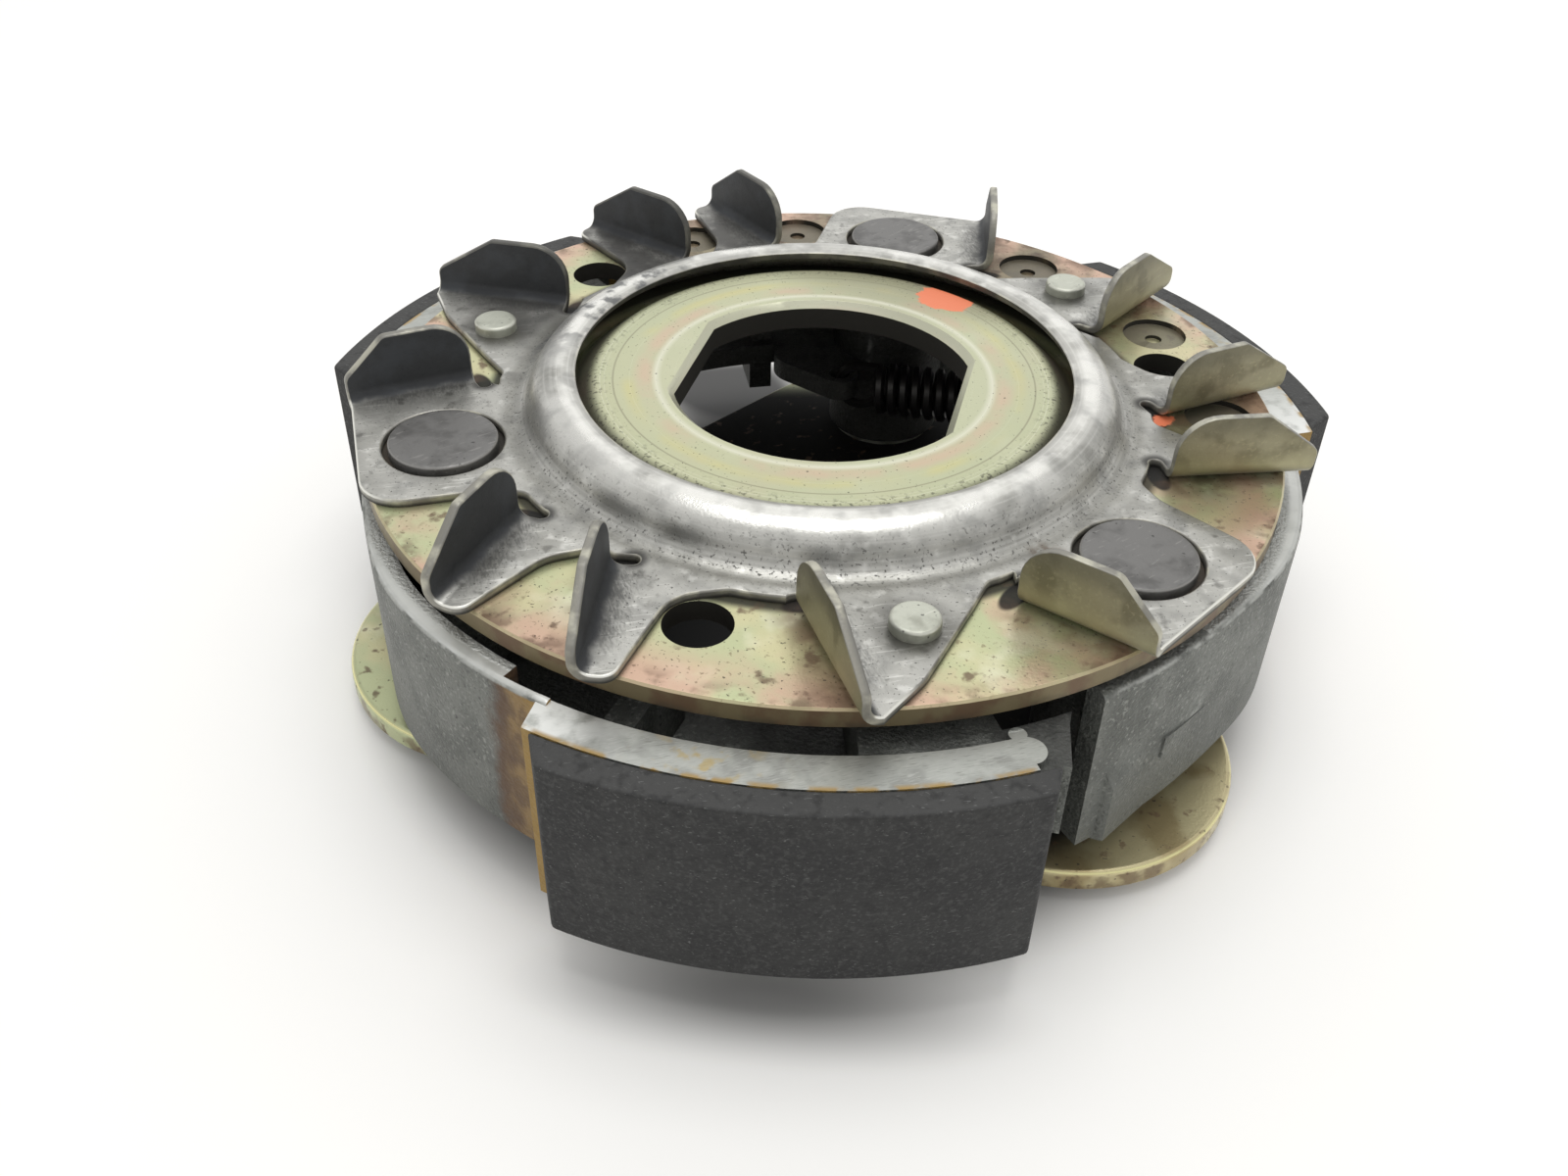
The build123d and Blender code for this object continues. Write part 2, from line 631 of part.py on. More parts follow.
with BuildPart() as shoe:
    with BuildSketch(upright(HEEL_START)):
        with BuildLine():
            Polyline(
                (heel_inner, HEEL_TOP),
                (heel_ledge, HEEL_TOP),
                (heel_outer, HEEL_FLANGE_TOP),
                (heel_outer, HEEL_BOTTOM),
                (heel_inner, HEEL_BOTTOM),
                close=True,
            )
        make_face()
    revolve(axis=Axis.Z, revolution_arc=HEEL_END - HEEL_START)
    # The heel stops short of the previous shoe's nose, with a rounded corner
    with BuildSketch(Plane(origin=(0, 0, HEEL_BOTTOM)).rotated((0, 0, PAD_SQUARE - SECTOR_PITCH))) as heel_plan:
        Circle(heel_outer)
        with Locations((PAD_END + HEEL_GAP - PAD_RADIUS, 0)):
            Rectangle(2 * PAD_RADIUS, 2 * PAD_RADIUS, mode=Mode.SUBTRACT)
        fillet(heel_plan.vertices().sort_by(SortBy.DISTANCE)[-2:], HEEL_ROUND)
    extrude(amount=HEEL_TOP - HEEL_BOTTOM, mode=Mode.INTERSECT)
    with BuildSketch(level(HEEL_BOTTOM)):
        with BuildLine():
            Polyline(
                polar(PAD_RADIUS, HEEL_EDGE[0][1] - HEEL_EDGE_REACH),
                polar(PAD_RADIUS - HEEL_EDGE[0][0], HEEL_EDGE[0][1]),
                polar(PAD_RADIUS - HEEL_EDGE[1][0], HEEL_EDGE[1][1]),
                polar(heel_inner, HEEL_EDGE[1][1] + HEEL_EDGE_REACH),
                polar(heel_inner / 2, HEEL_START),
                close=True,
            )
        make_face()
    extrude(amount=HEEL_TOP - HEEL_BOTTOM, mode=Mode.INTERSECT)
    with BuildSketch(level(ARM_BOTTOM)):
        with BuildLine():
            outer_curve = Spline(*arm_outer)
            inner_curve = Spline(*arm_inner)
            Line(outer_curve @ 0, inner_curve @ 0)
            Line(outer_curve @ 1, inner_curve @ 1)
        make_face()
    extrude(amount=ARM_TOP - ARM_BOTTOM)
    arm_edges = shoe.edges().group_by(Axis.Z)[-1]
    fillet(arm_edges.sort_by(SortBy.LENGTH)[-1], ARM_ROUND)
    # The arm's top is thin where it meets the pad
    arm_end_depth, arm_end = ARM_CURVE[-1]
    notch_outer = PAD_RADIUS - arm_end_depth - NOTCH_WALL
    with BuildSketch(level(ARM_TOP - NOTCH_DEPTH)):
        add(ring_sector(notch_outer - ARM_WALL, notch_outer, NOTCH_START, arm_end))
    extrude(amount=NOTCH_DEPTH, mode=Mode.SUBTRACT)
    with BuildSketch(level(PAD_BOTTOM)):
        Circle(PAD_RADIUS)
        Circle(PAD_INNER, mode=Mode.SUBTRACT)
        with Locations(square(pad_middle, -PAD_RADIUS)):
            Rectangle(pad_run, PAD_RADIUS, rotation=PAD_SQUARE, mode=Mode.INTERSECT)
    extrude(amount=PAD_TOP - PAD_BOTTOM)
    with BuildSketch(level(PAD_BOTTOM)):
        Circle(PAD_RADIUS)
        Circle(end_block_inner, mode=Mode.SUBTRACT)
        with Locations(square((end_block_start + PAD_END) / 2, -PAD_RADIUS)):
            Rectangle(PAD_END - end_block_start, PAD_RADIUS, rotation=PAD_SQUARE, mode=Mode.INTERSECT)
    extrude(amount=PAD_TOP - PAD_BOTTOM)
    with BuildSketch(level(NOSE_BOTTOM)):
        with BuildLine():
            Polyline(
                square(end_block_start, nose_inner),
                square(PAD_END, nose_inner),
                square(nose_reach, nose_arc),
                square(end_block_start, nose_arc),
                close=True,
            )
        make_face()
        Circle(end_block_inner, mode=Mode.SUBTRACT)
    extrude(amount=PAD_TOP - NOSE_BOTTOM)
    with BuildSketch(level(PAD_TOP)) as land:
        Circle(PAD_RADIUS)
        Circle(PAD_INNER, mode=Mode.SUBTRACT)
        with Locations(square(pad_middle, -PAD_RADIUS)):
            Rectangle(pad_run, PAD_RADIUS, rotation=PAD_SQUARE, mode=Mode.INTERSECT)
        beyond_land = ring_sector(PAD_INNER - LAND_CURL, PAD_RADIUS + LAND_CURL, LAND_END, LAND_END + WEB_END)
        add(beyond_land, mode=Mode.SUBTRACT)
        with Locations(polar(PAD_INNER + LAND_CURL, LAND_END)):
            Circle(LAND_CURL)
        with Locations(polar(PAD_INNER - LAND_TOOTH / 2, LAND_END)):
            Circle(LAND_TOOTH)
    extrude(amount=LAND_HEIGHT)
    with BuildSketch(level(boss_bottom)):
        with Locations(pivot):
            Circle(BOSS_RADIUS)
    extrude(amount=boss_top - boss_bottom)
    with BuildSketch(level(BRIDGE_BOTTOM)):
        add(ring_sector(PIVOT_RADIUS + BRIDGE_OFFSET, PAD_RADIUS - BRIDGE_DEPTH, BRIDGE_START, BRIDGE_END))
    extrude(amount=BRIDGE_TOP - BRIDGE_BOTTOM)
    with BuildSketch(level(WEB_BOTTOM)):
        add(ring_sector(WEB_INNER, WEB_OUTER, WEB_START, WEB_END))
    extrude(amount=WEB_THICKNESS)
    with BuildSketch(level(WEB_BOTTOM)):
        hull_of((BOSS_RADIUS - ARM_ROUND, pivot), (LUG_SHOULDER, polar(*HEEL_LUG_FOOT)))
    extrude(amount=WEB_THICKNESS)
    with BuildSketch(level(WEB_BOTTOM)):
        hull_of((LUG_RADIUS, heel_hook), (LUG_SHOULDER, polar(*HEEL_LUG_FOOT)))
    extrude(amount=WEB_THICKNESS)
    with BuildSketch(level(WEB_BOTTOM)):
        hull_of(
            (LUG_RADIUS, nose_hook),
            (LUG_SHOULDER, polar(*NOSE_LUG_FOOT)),
            (LUG_SHOULDER, polar(*NOSE_LUG_SIDE)),
        )
    extrude(amount=WEB_THICKNESS)
    for angle in RIB_ANGLES:
        with BuildSketch(level(RIB_BOTTOM)):
            with Locations(polar(RIB_INNER, angle)):
                Rectangle(rib_length, RIB_THICKNESS, rotation=angle, align=(Align.MIN, Align.CENTER))
        extrude(amount=RIB_TOP - RIB_BOTTOM)
    with BuildSketch(level(WEB_BOTTOM)):
        add(ring_sector(WEB_INNER, PAD_RADIUS - POCKET_DEPTH, POCKET_START, POCKET_END))
    extrude(amount=POCKET_TOP - WEB_BOTTOM)
    with BuildSketch(level(POCKET_FLOOR)):
        hull_of((pocket_radius, damper), (pocket_radius, pocket_inner))
    extrude(amount=POCKET_TOP - POCKET_FLOOR, mode=Mode.SUBTRACT)
    with BuildSketch(level(boss_bottom)):
        with Locations(pivot):
            Circle(PIN_RADIUS + RUNNING_CLEARANCE)
    extrude(amount=boss_top - boss_bottom, mode=Mode.SUBTRACT)
    with BuildSketch(level(WEB_BOTTOM)):
        with Locations(heel_hook, nose_hook):
            Circle(HOOK_HOLE_RADIUS)
    extrude(amount=WEB_THICKNESS, mode=Mode.SUBTRACT)
keep_each(shoe.part, "shoe")

# Linings
bell_centre = (
    PIVOT_RADIUS - PIVOT_RADIUS * cos(radians(ENGAGED_SWING)),
    -PIVOT_RADIUS * sin(radians(ENGAGED_SWING)),
)
lining_start = PAD_START + LINING_SETBACK
lining_foot = -((PAD_RADIUS**2 - lining_start**2) ** 0.5)
lining_reach = 2 * LINING_THICKNESS
slant_reach = lining_reach * tan(radians(LINING_SLANT))
with BuildPart() as lining:
    with BuildSketch(level(PAD_BOTTOM)):
        with BuildLine():
            Polyline(
                square(PAD_END, -PAD_RADIUS / 2),
                square(lining_start, -PAD_RADIUS / 2),
                square(lining_start, lining_foot),
                square(lining_start + slant_reach, lining_foot - lining_reach),
                square(PAD_END, lining_foot - lining_reach),
                close=True,
            )
        make_face()
        with Locations(bell_centre):
            Circle(BELL_RADIUS, mode=Mode.INTERSECT)
        Circle(PAD_RADIUS, mode=Mode.SUBTRACT)
    extrude(amount=PAD_TOP + LAND_HEIGHT - PAD_BOTTOM)
keep_each(lining.part, "lining")

# Springs
next_hook = polar(HEEL_LUG[0], HEEL_LUG[1] + SECTOR_PITCH)
spring_level = WEB_BOTTOM + WEB_THICKNESS / 2
spring_run = hypot(next_hook[0] - nose_hook[0], next_hook[1] - nose_hook[1])
spring_direction = (next_hook[0] - nose_hook[0], next_hook[1] - nose_hook[1], 0)
hook_length = 2 * COIL_RADIUS - SPRING_WIRE / 4
coil_length = spring_run - 2 * hook_length
# The spring is drawn standing on the origin, with its hooks in the XZ plane
with BuildPart() as spring:
    with BuildLine() as coil_path:
        Helix(coil_length / COIL_TURNS, coil_length, COIL_RADIUS, center=(0, 0, hook_length))
    with BuildSketch(Plane(origin=coil_path.line @ 0, z_dir=coil_path.line % 0)):
        RegularPolygon(SPRING_WIRE / 2, WIRE_SIDES)
    sweep(path=coil_path.line, is_frenet=True)
    with BuildLine(Plane.XZ) as hook_path:
        Line((COIL_RADIUS, hook_length + SPRING_WIRE / 4), (COIL_RADIUS, COIL_RADIUS))
        CenterArc((0, COIL_RADIUS), COIL_RADIUS, 0, -HOOK_ARC)
    with BuildSketch(level(hook_length + SPRING_WIRE / 4)):
        with Locations((COIL_RADIUS, 0)):
            RegularPolygon(SPRING_WIRE / 2, WIRE_SIDES)
    nose_end = sweep(path=hook_path.line)
    mirror(nose_end, about=level(spring_run / 2))
spring_place = Plane(origin=(*nose_hook, spring_level), x_dir=(0, 0, 1), z_dir=spring_direction)
keep_each(spring_place.location * spring.part, "spring")
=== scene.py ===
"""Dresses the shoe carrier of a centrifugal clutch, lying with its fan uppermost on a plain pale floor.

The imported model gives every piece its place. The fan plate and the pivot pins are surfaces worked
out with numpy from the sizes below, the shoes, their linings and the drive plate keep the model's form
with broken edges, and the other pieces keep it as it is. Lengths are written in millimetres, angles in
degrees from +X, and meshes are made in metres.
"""

from __future__ import annotations

import logging
import math
from dataclasses import dataclass, field
from enum import Enum
from functools import cached_property
from typing import Sequence

import bmesh
import bpy
import numpy as np
from mathutils import Matrix

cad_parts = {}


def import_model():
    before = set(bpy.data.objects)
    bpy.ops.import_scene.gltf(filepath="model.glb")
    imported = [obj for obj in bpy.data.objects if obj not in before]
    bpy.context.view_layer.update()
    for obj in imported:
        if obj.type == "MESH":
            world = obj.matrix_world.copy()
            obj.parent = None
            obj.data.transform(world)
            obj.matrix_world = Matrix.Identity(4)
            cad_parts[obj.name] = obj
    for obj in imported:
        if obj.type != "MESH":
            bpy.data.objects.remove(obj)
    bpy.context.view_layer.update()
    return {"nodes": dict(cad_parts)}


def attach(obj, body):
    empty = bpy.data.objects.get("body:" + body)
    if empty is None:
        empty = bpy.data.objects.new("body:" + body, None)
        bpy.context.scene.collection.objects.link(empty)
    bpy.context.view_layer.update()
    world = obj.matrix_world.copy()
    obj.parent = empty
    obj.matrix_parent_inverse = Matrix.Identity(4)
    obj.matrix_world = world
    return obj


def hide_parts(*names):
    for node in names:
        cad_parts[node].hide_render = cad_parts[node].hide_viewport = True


log = logging.getLogger("clutch")

MM = 0.001
MERGE_DISTANCE = 0.002 * MM
FLAT_ANGLE = 0.3
SHARP_ANGLE = 30.0
SECTORS = 3
FIRST_PIVOT = 210.0
PIVOT_RADIUS = 54.8
DAMPER_CIRCLE = 53.6
DAMPER_ANGLE = 84.95

Point = tuple[float, float]
Colour = tuple[float, float, float, float]


class Body(Enum):
    """The bodies that pieces ride on."""

    CARRIER = "carrier"
    SHOE_1 = "shoe_body_1"
    SHOE_2 = "shoe_body_2"
    SHOE_3 = "shoe_body_3"


SHOE_BODIES = (Body.SHOE_1, Body.SHOE_2, Body.SHOE_3)


def sector_angles() -> list[float]:
    """Angles of the three pivot pins."""
    return [FIRST_PIVOT + index * 360.0 / SECTORS for index in range(SECTORS)]


def polar(radius: float, angle: float) -> Point:
    """Point at a radius and an angle from +X."""
    return (radius * math.cos(math.radians(angle)), radius * math.sin(math.radians(angle)))


def turned(points: np.ndarray, angle: float) -> np.ndarray:
    """Points turned about the clutch axis.

    Args:
        points: Rows of x, y and perhaps z.
        angle: Turn in degrees.

    Returns:
        New rows of the same width.
    """
    out = np.array(points, dtype=float)
    cosine, sine = math.cos(math.radians(angle)), math.sin(math.radians(angle))
    out[:, 0] = points[:, 0] * cosine - points[:, 1] * sine
    out[:, 1] = points[:, 0] * sine + points[:, 1] * cosine
    return out


# Meshes


@dataclass
class Shell:
    """A mesh in millimetres: points, faces and named values for each point."""

    points: np.ndarray
    faces: list[tuple[int, ...]]
    marks: dict[str, np.ndarray] = field(default_factory=dict)

    def moved(self, x: float, y: float, z: float = 0.0) -> Shell:
        """This shell moved by an offset."""
        return Shell(self.points + np.array((x, y, z)), self.faces, self.marks)


def joined(shells: Sequence[Shell]) -> Shell:
    """One shell made of several.

    Args:
        shells: The shells, in order.

    Returns:
        A shell with every point, face and mark. A mark that a shell lacks is 0 there.
    """
    names = sorted({name for shell in shells for name in shell.marks})
    faces: list[tuple[int, ...]] = []
    start = 0
    for shell in shells:
        faces.extend(tuple(index + start for index in face) for face in shell.faces)
        start += len(shell.points)
    marks = {
        name: np.concatenate([shell.marks.get(name, np.zeros(len(shell.points))) for shell in shells])
        for name in names
    }
    return Shell(np.concatenate([shell.points for shell in shells]), faces, marks)


def grid_shell(grid: np.ndarray, wrap_rows: bool = False, wrap_columns: bool = False, **marks: np.ndarray) -> Shell:
    """Quads over a grid of points.

    Args:
        grid: Rows by columns by 3.
        wrap_rows: Whether the last row joins the first.
        wrap_columns: Whether the last column joins the first.
        marks: Named values, rows by columns.

    Returns:
        The shell. Faces look along the cross of the column direction and the row direction.
    """
    rows, columns = grid.shape[:2]
    row = np.arange(rows if wrap_rows else rows - 1)
    column = np.arange(columns if wrap_columns else columns - 1)
    r, c = (part.ravel() for part in np.meshgrid(row, column, indexing="ij"))
    r_next, c_next = (r + 1) % rows, (c + 1) % columns
    quads = np.stack([r * columns + c, r * columns + c_next, r_next * columns + c_next, r_next * columns + c], 1)
    values = {name: np.broadcast_to(value, (rows, columns)).ravel() for name, value in marks.items()}
    return Shell(grid.reshape(-1, 3).astype(float), [tuple(quad) for quad in quads.tolist()], values)


def revolved(profile: np.ndarray, steps: int, **marks: np.ndarray) -> Shell:
    """A profile of radius and height carried round the Z axis.

    Args:
        profile: Rows of radius and height. A profile that starts or ends on the axis is closed there.
        steps: Points round the circle.
        marks: Named values along the profile.

    Returns:
        A shell closed round the axis. Point (i, j) is profile point j at angle 360 i / steps.
    """
    angle = np.linspace(0.0, 2.0 * np.pi, steps, endpoint=False)[:, None]
    radius, height = profile[:, 0][None, :], profile[:, 1][None, :]
    grid = np.stack([radius * np.cos(angle), radius * np.sin(angle), height + 0.0 * angle], 2)
    return grid_shell(grid, wrap_rows=True, **{name: value[None, :] for name, value in marks.items()})


def arc(centre: Point, radius: float, start: float, end: float, steps: int = 8) -> np.ndarray:
    """Points of an arc.

    Args:
        centre: Its centre.
        radius: Its radius.
        start: First angle, in degrees from +X.
        end: Last angle.
        steps: Steps between the two angles.

    Returns:
        Rows of x and y, with both ends.
    """
    angle = np.radians(np.linspace(start, end, steps + 1))
    return np.stack([centre[0] + radius * np.cos(angle), centre[1] + radius * np.sin(angle)], 1)


def rounded_runs(corners: Sequence[tuple[Point, float]], steps: int = 9) -> list[np.ndarray]:
    """Closed outline of straight runs with rounded corners.

    Each rounded corner is an arc that touches both of its runs: its centre lies on the corner's middle
    line, at the radius over the sine of half the corner's angle.

    Args:
        corners: Each corner's place and its radius, counter-clockwise.
        steps: Points on each rounded corner.

    Returns:
        The points of each corner in turn, as rows of x and y.
    """
    places = np.array([place for place, _ in corners], dtype=float)
    runs: list[np.ndarray] = []
    for corner, (_, radius), back, ahead in zip(places, corners, np.roll(places, 1, 0), np.roll(places, -1, 0)):
        if radius <= 0.0:
            runs.append(corner[None, :])
            continue
        to_back = (back - corner) / np.linalg.norm(back - corner)
        to_ahead = (ahead - corner) / np.linalg.norm(ahead - corner)
        half = 0.5 * math.acos(float(np.clip(to_back @ to_ahead, -1.0, 1.0)))
        middle = (to_back + to_ahead) / np.linalg.norm(to_back + to_ahead)
        centre = corner + middle * radius / math.sin(half)
        reach = radius / math.tan(half)
        first = math.atan2(*(corner + to_back * reach - centre)[::-1])
        last = math.atan2(*(corner + to_ahead * reach - centre)[::-1])
        turn = (last - first + math.pi) % (2.0 * math.pi) - math.pi
        angle = first + turn * np.linspace(0.0, 1.0, steps)
        runs.append(centre + radius * np.stack([np.cos(angle), np.sin(angle)], 1))
    return runs


def circle(centre: Point, radius: float, steps: int = 64) -> np.ndarray:
    """Closed circle, counter-clockwise."""
    return arc(centre, radius, 0.0, 360.0 - 360.0 / steps, steps - 1)


def outward(loop: np.ndarray) -> np.ndarray:
    """Unit normals that point out of a loop: each is across the chord of its neighbours.

    Args:
        loop: Rows of x and y, counter-clockwise.

    Returns:
        Rows of x and y.
    """
    chord = np.roll(loop, -1, 0) - np.roll(loop, 1, 0)
    normal = np.stack([chord[:, 1], -chord[:, 0]], 1)
    return normal / np.maximum(np.linalg.norm(normal, axis=1), 1e-9)[:, None]


@dataclass(frozen=True)
class SheetEdge:
    """The edge of a stamped sheet: rounded over at the top and sheared square below."""

    top_round: float = 0.32
    under_round: float = 0.14

    def profile(self, top: float, bottom: float) -> list[tuple[float, float]]:
        """Steps over the edge, a quarter circle at each face.

        Args:
            top: Height of the top face.
            bottom: Height of the under face.

        Returns:
            An inset and a height for each step, from the top face to the under face.
        """
        quarter = np.radians((0.0, 30.0, 60.0, 90.0))
        over = [(self.top_round * (1 - math.sin(a)), top - self.top_round * (1 - math.cos(a))) for a in quarter]
        under = [(self.under_round * (1 - math.cos(a)), bottom + self.under_round * (1 - math.sin(a))) for a in quarter]
        return over + under


def filled(loops: Sequence[np.ndarray], up: bool) -> list[tuple[int, ...]]:
    """Triangles between loops, the first one outside and the others holes in it.

    Args:
        loops: Closed loops of x and y.
        up: Whether the faces look up.

    Returns:
        Faces whose numbers count through the loops in order.
    """
    mesh = bmesh.new()
    for loop in loops:
        ring = [mesh.verts.new((x, y, 0.0)) for x, y in loop]
        for start, end in zip(ring, ring[1:] + ring[:1]):
            mesh.edges.new((start, end))
    mesh.verts.index_update()
    bmesh.ops.triangle_fill(mesh, use_beauty=True, edges=mesh.edges[:], normal=(0.0, 0.0, 1.0))
    faces = []
    for face in mesh.faces:
        order = [vert.index for vert in face.verts]
        faces.append(tuple(order if (face.normal.z > 0.0) == up else order[::-1]))
    mesh.free()
    return faces


def linked(name: str, data: bpy.types.ID) -> bpy.types.Object:
    """A new object in the scene, at the origin.

    Args:
        name: The object's name.
        data: Its mesh, light or camera.

    Returns:
        The object.
    """
    made = bpy.data.objects.new(name, data)
    bpy.context.scene.collection.objects.link(made)
    return made


def ridden(data: bpy.types.Mesh, material: bpy.types.Material, body: Body,
           smooth: float) -> bpy.types.Object:
    """Makes a piece of a mesh, shades it and lets it ride on a body.

    Args:
        data: The mesh, which gives the piece its name.
        material: Its only material.
        body: The body that carries it.
        smooth: Faces that turn by less than this angle are shaded as one surface.

    Returns:
        The new object, at the origin.
    """
    data.shade_smooth()
    data.set_sharp_from_angle(angle=math.radians(smooth))
    data.materials.clear()
    data.materials.append(material)
    piece = linked(data.name, data)
    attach(piece, body.value)
    log.info("%s: %d faces on %s", data.name, len(data.polygons), body.value)
    return piece


def placed(name: str, shell: Shell, material: bpy.types.Material, body: Body,
           smooth: float) -> bpy.types.Object:
    """Makes a piece of a shell, with its seams and poles closed.

    Args:
        name: The piece's name.
        shell: Its mesh in millimetres.
        material: Its material.
        body: The body that carries it.
        smooth: Faces that turn by less than this angle are shaded as one surface.

    Returns:
        The new object, at the origin.
    """
    data = bpy.data.meshes.new(name)
    data.from_pydata((shell.points * MM).tolist(), [], shell.faces)
    for mark, values in shell.marks.items():
        data.attributes.new(mark, "FLOAT", "POINT").data.foreach_set("value", values.astype(np.float32))
    mesh = bmesh.new()
    mesh.from_mesh(data)
    bmesh.ops.remove_doubles(mesh, verts=mesh.verts[:], dist=MERGE_DISTANCE)
    bmesh.ops.recalc_face_normals(mesh, faces=mesh.faces[:])
    gaps = sum(1 for edge in mesh.edges if len(edge.link_faces) != 2)
    mesh.to_mesh(data)
    mesh.free()
    log.info("%s: %d open edges", name, gaps)
    return ridden(data, material, body, smooth)


def broken_copy(node: str, name: str, material: bpy.types.Material, body: Body, edge: float) -> None:
    """A copy of a model's node with its edges broken, which replaces the node.

    Args:
        node: The node's name.
        name: The new piece's name.
        material: Its material.
        body: The body that carries it.
        edge: Width of the broken edge in millimetres.
    """
    data = bpy.data.objects[node].data.copy()
    data.name = name
    mesh = bmesh.new()
    mesh.from_mesh(data)
    bmesh.ops.remove_doubles(mesh, verts=mesh.verts[:], dist=MERGE_DISTANCE)
    bmesh.ops.dissolve_limit(mesh, angle_limit=math.radians(FLAT_ANGLE), verts=mesh.verts[:], edges=mesh.edges[:])
    mesh.to_mesh(data)
    mesh.free()
    piece = ridden(data, material, body, SHARP_ANGLE)
    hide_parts(node)
    bevel = piece.modifiers.new("broken edges", "BEVEL")
    bevel.width = edge * MM
    bevel.segments = 2
    bevel.limit_method = "ANGLE"
    bevel.angle_limit = math.radians(SHARP_ANGLE)
    bevel.harden_normals = True


@dataclass(frozen=True)
class Fold:
    """A fin's fold line in the flat blank, from its root near the dome to its tip at the rim."""

    root: Point
    tip: Point

    def run(self) -> float:
        """Length of the fold line."""
        return math.dist(self.root, self.tip)

    def directions(self) -> tuple[np.ndarray, np.ndarray]:
        """Unit vectors along the fold and across it, towards the sheet that stays flat."""
        along = (np.array(self.tip) - np.array(self.root)) / self.run()
        return along, np.array((-along[1], along[0]))

    def place(self, along: float, across: float) -> Point:
        """A point of the blank, measured from the root.

        Args:
            along: Distance along the fold.
            across: Distance across it.

        Returns:
            The point's x and y.
        """
        forward, sideways = self.directions()
        x, y = np.array(self.root) + forward * along + sideways * across
        return (float(x), float(y))

    def turned(self, angle: float) -> Fold:
        """This fold in another sector."""
        ends = turned(np.array((self.root, self.tip)), angle)
        return Fold((float(ends[0, 0]), float(ends[0, 1])), (float(ends[1, 0]), float(ends[1, 1])))


# The folds of a sector's four fins, counter-clockwise from the pivot pin's: the pin's, two bare ones and the rivet's.
FINS = (
    Fold(polar(51.39, -20.68), polar(68.77, -12.73)),
    Fold(polar(50.29, 20.70), polar(69.35, 29.55)),
    Fold(polar(49.17, 39.36), polar(69.13, 48.43)),
    Fold(polar(48.15, 68.85), polar(69.34, 76.69)),
)


# Materials


def linear(code: str) -> Colour:
    """Turns an sRGB colour to linear values.

    Args:
        code: Six hex digits.

    Returns:
        Red, green, blue and full alpha.
    """
    values = [int(code[index:index + 2], 16) / 255.0 for index in (0, 2, 4)]
    red, green, blue = (v / 12.92 if v <= 0.04045 else ((v + 0.055) / 1.055) ** 2.4 for v in values)
    return (red, green, blue, 1.0)


def add_node(tree: bpy.types.NodeTree, kind: str, inputs: dict | None = None, **settings: object) -> bpy.types.Node:
    """Adds a node with its settings, and links or sets its inputs.

    Args:
        tree: The material's tree.
        kind: The shader node's type, without the prefix that all of them share.
        inputs: Input names or numbers, each with a socket to link or a value to set.
        settings: Attributes of the node.

    Returns:
        The new node.
    """
    node = tree.nodes.new(f"ShaderNode{kind}")
    for name, value in settings.items():
        setattr(node, name, value)
    for key, value in (inputs or {}).items():
        if isinstance(value, bpy.types.NodeSocket):
            tree.links.new(value, node.inputs[key])
        else:
            node.inputs[key].default_value = value
    return node


Socket = bpy.types.NodeSocket


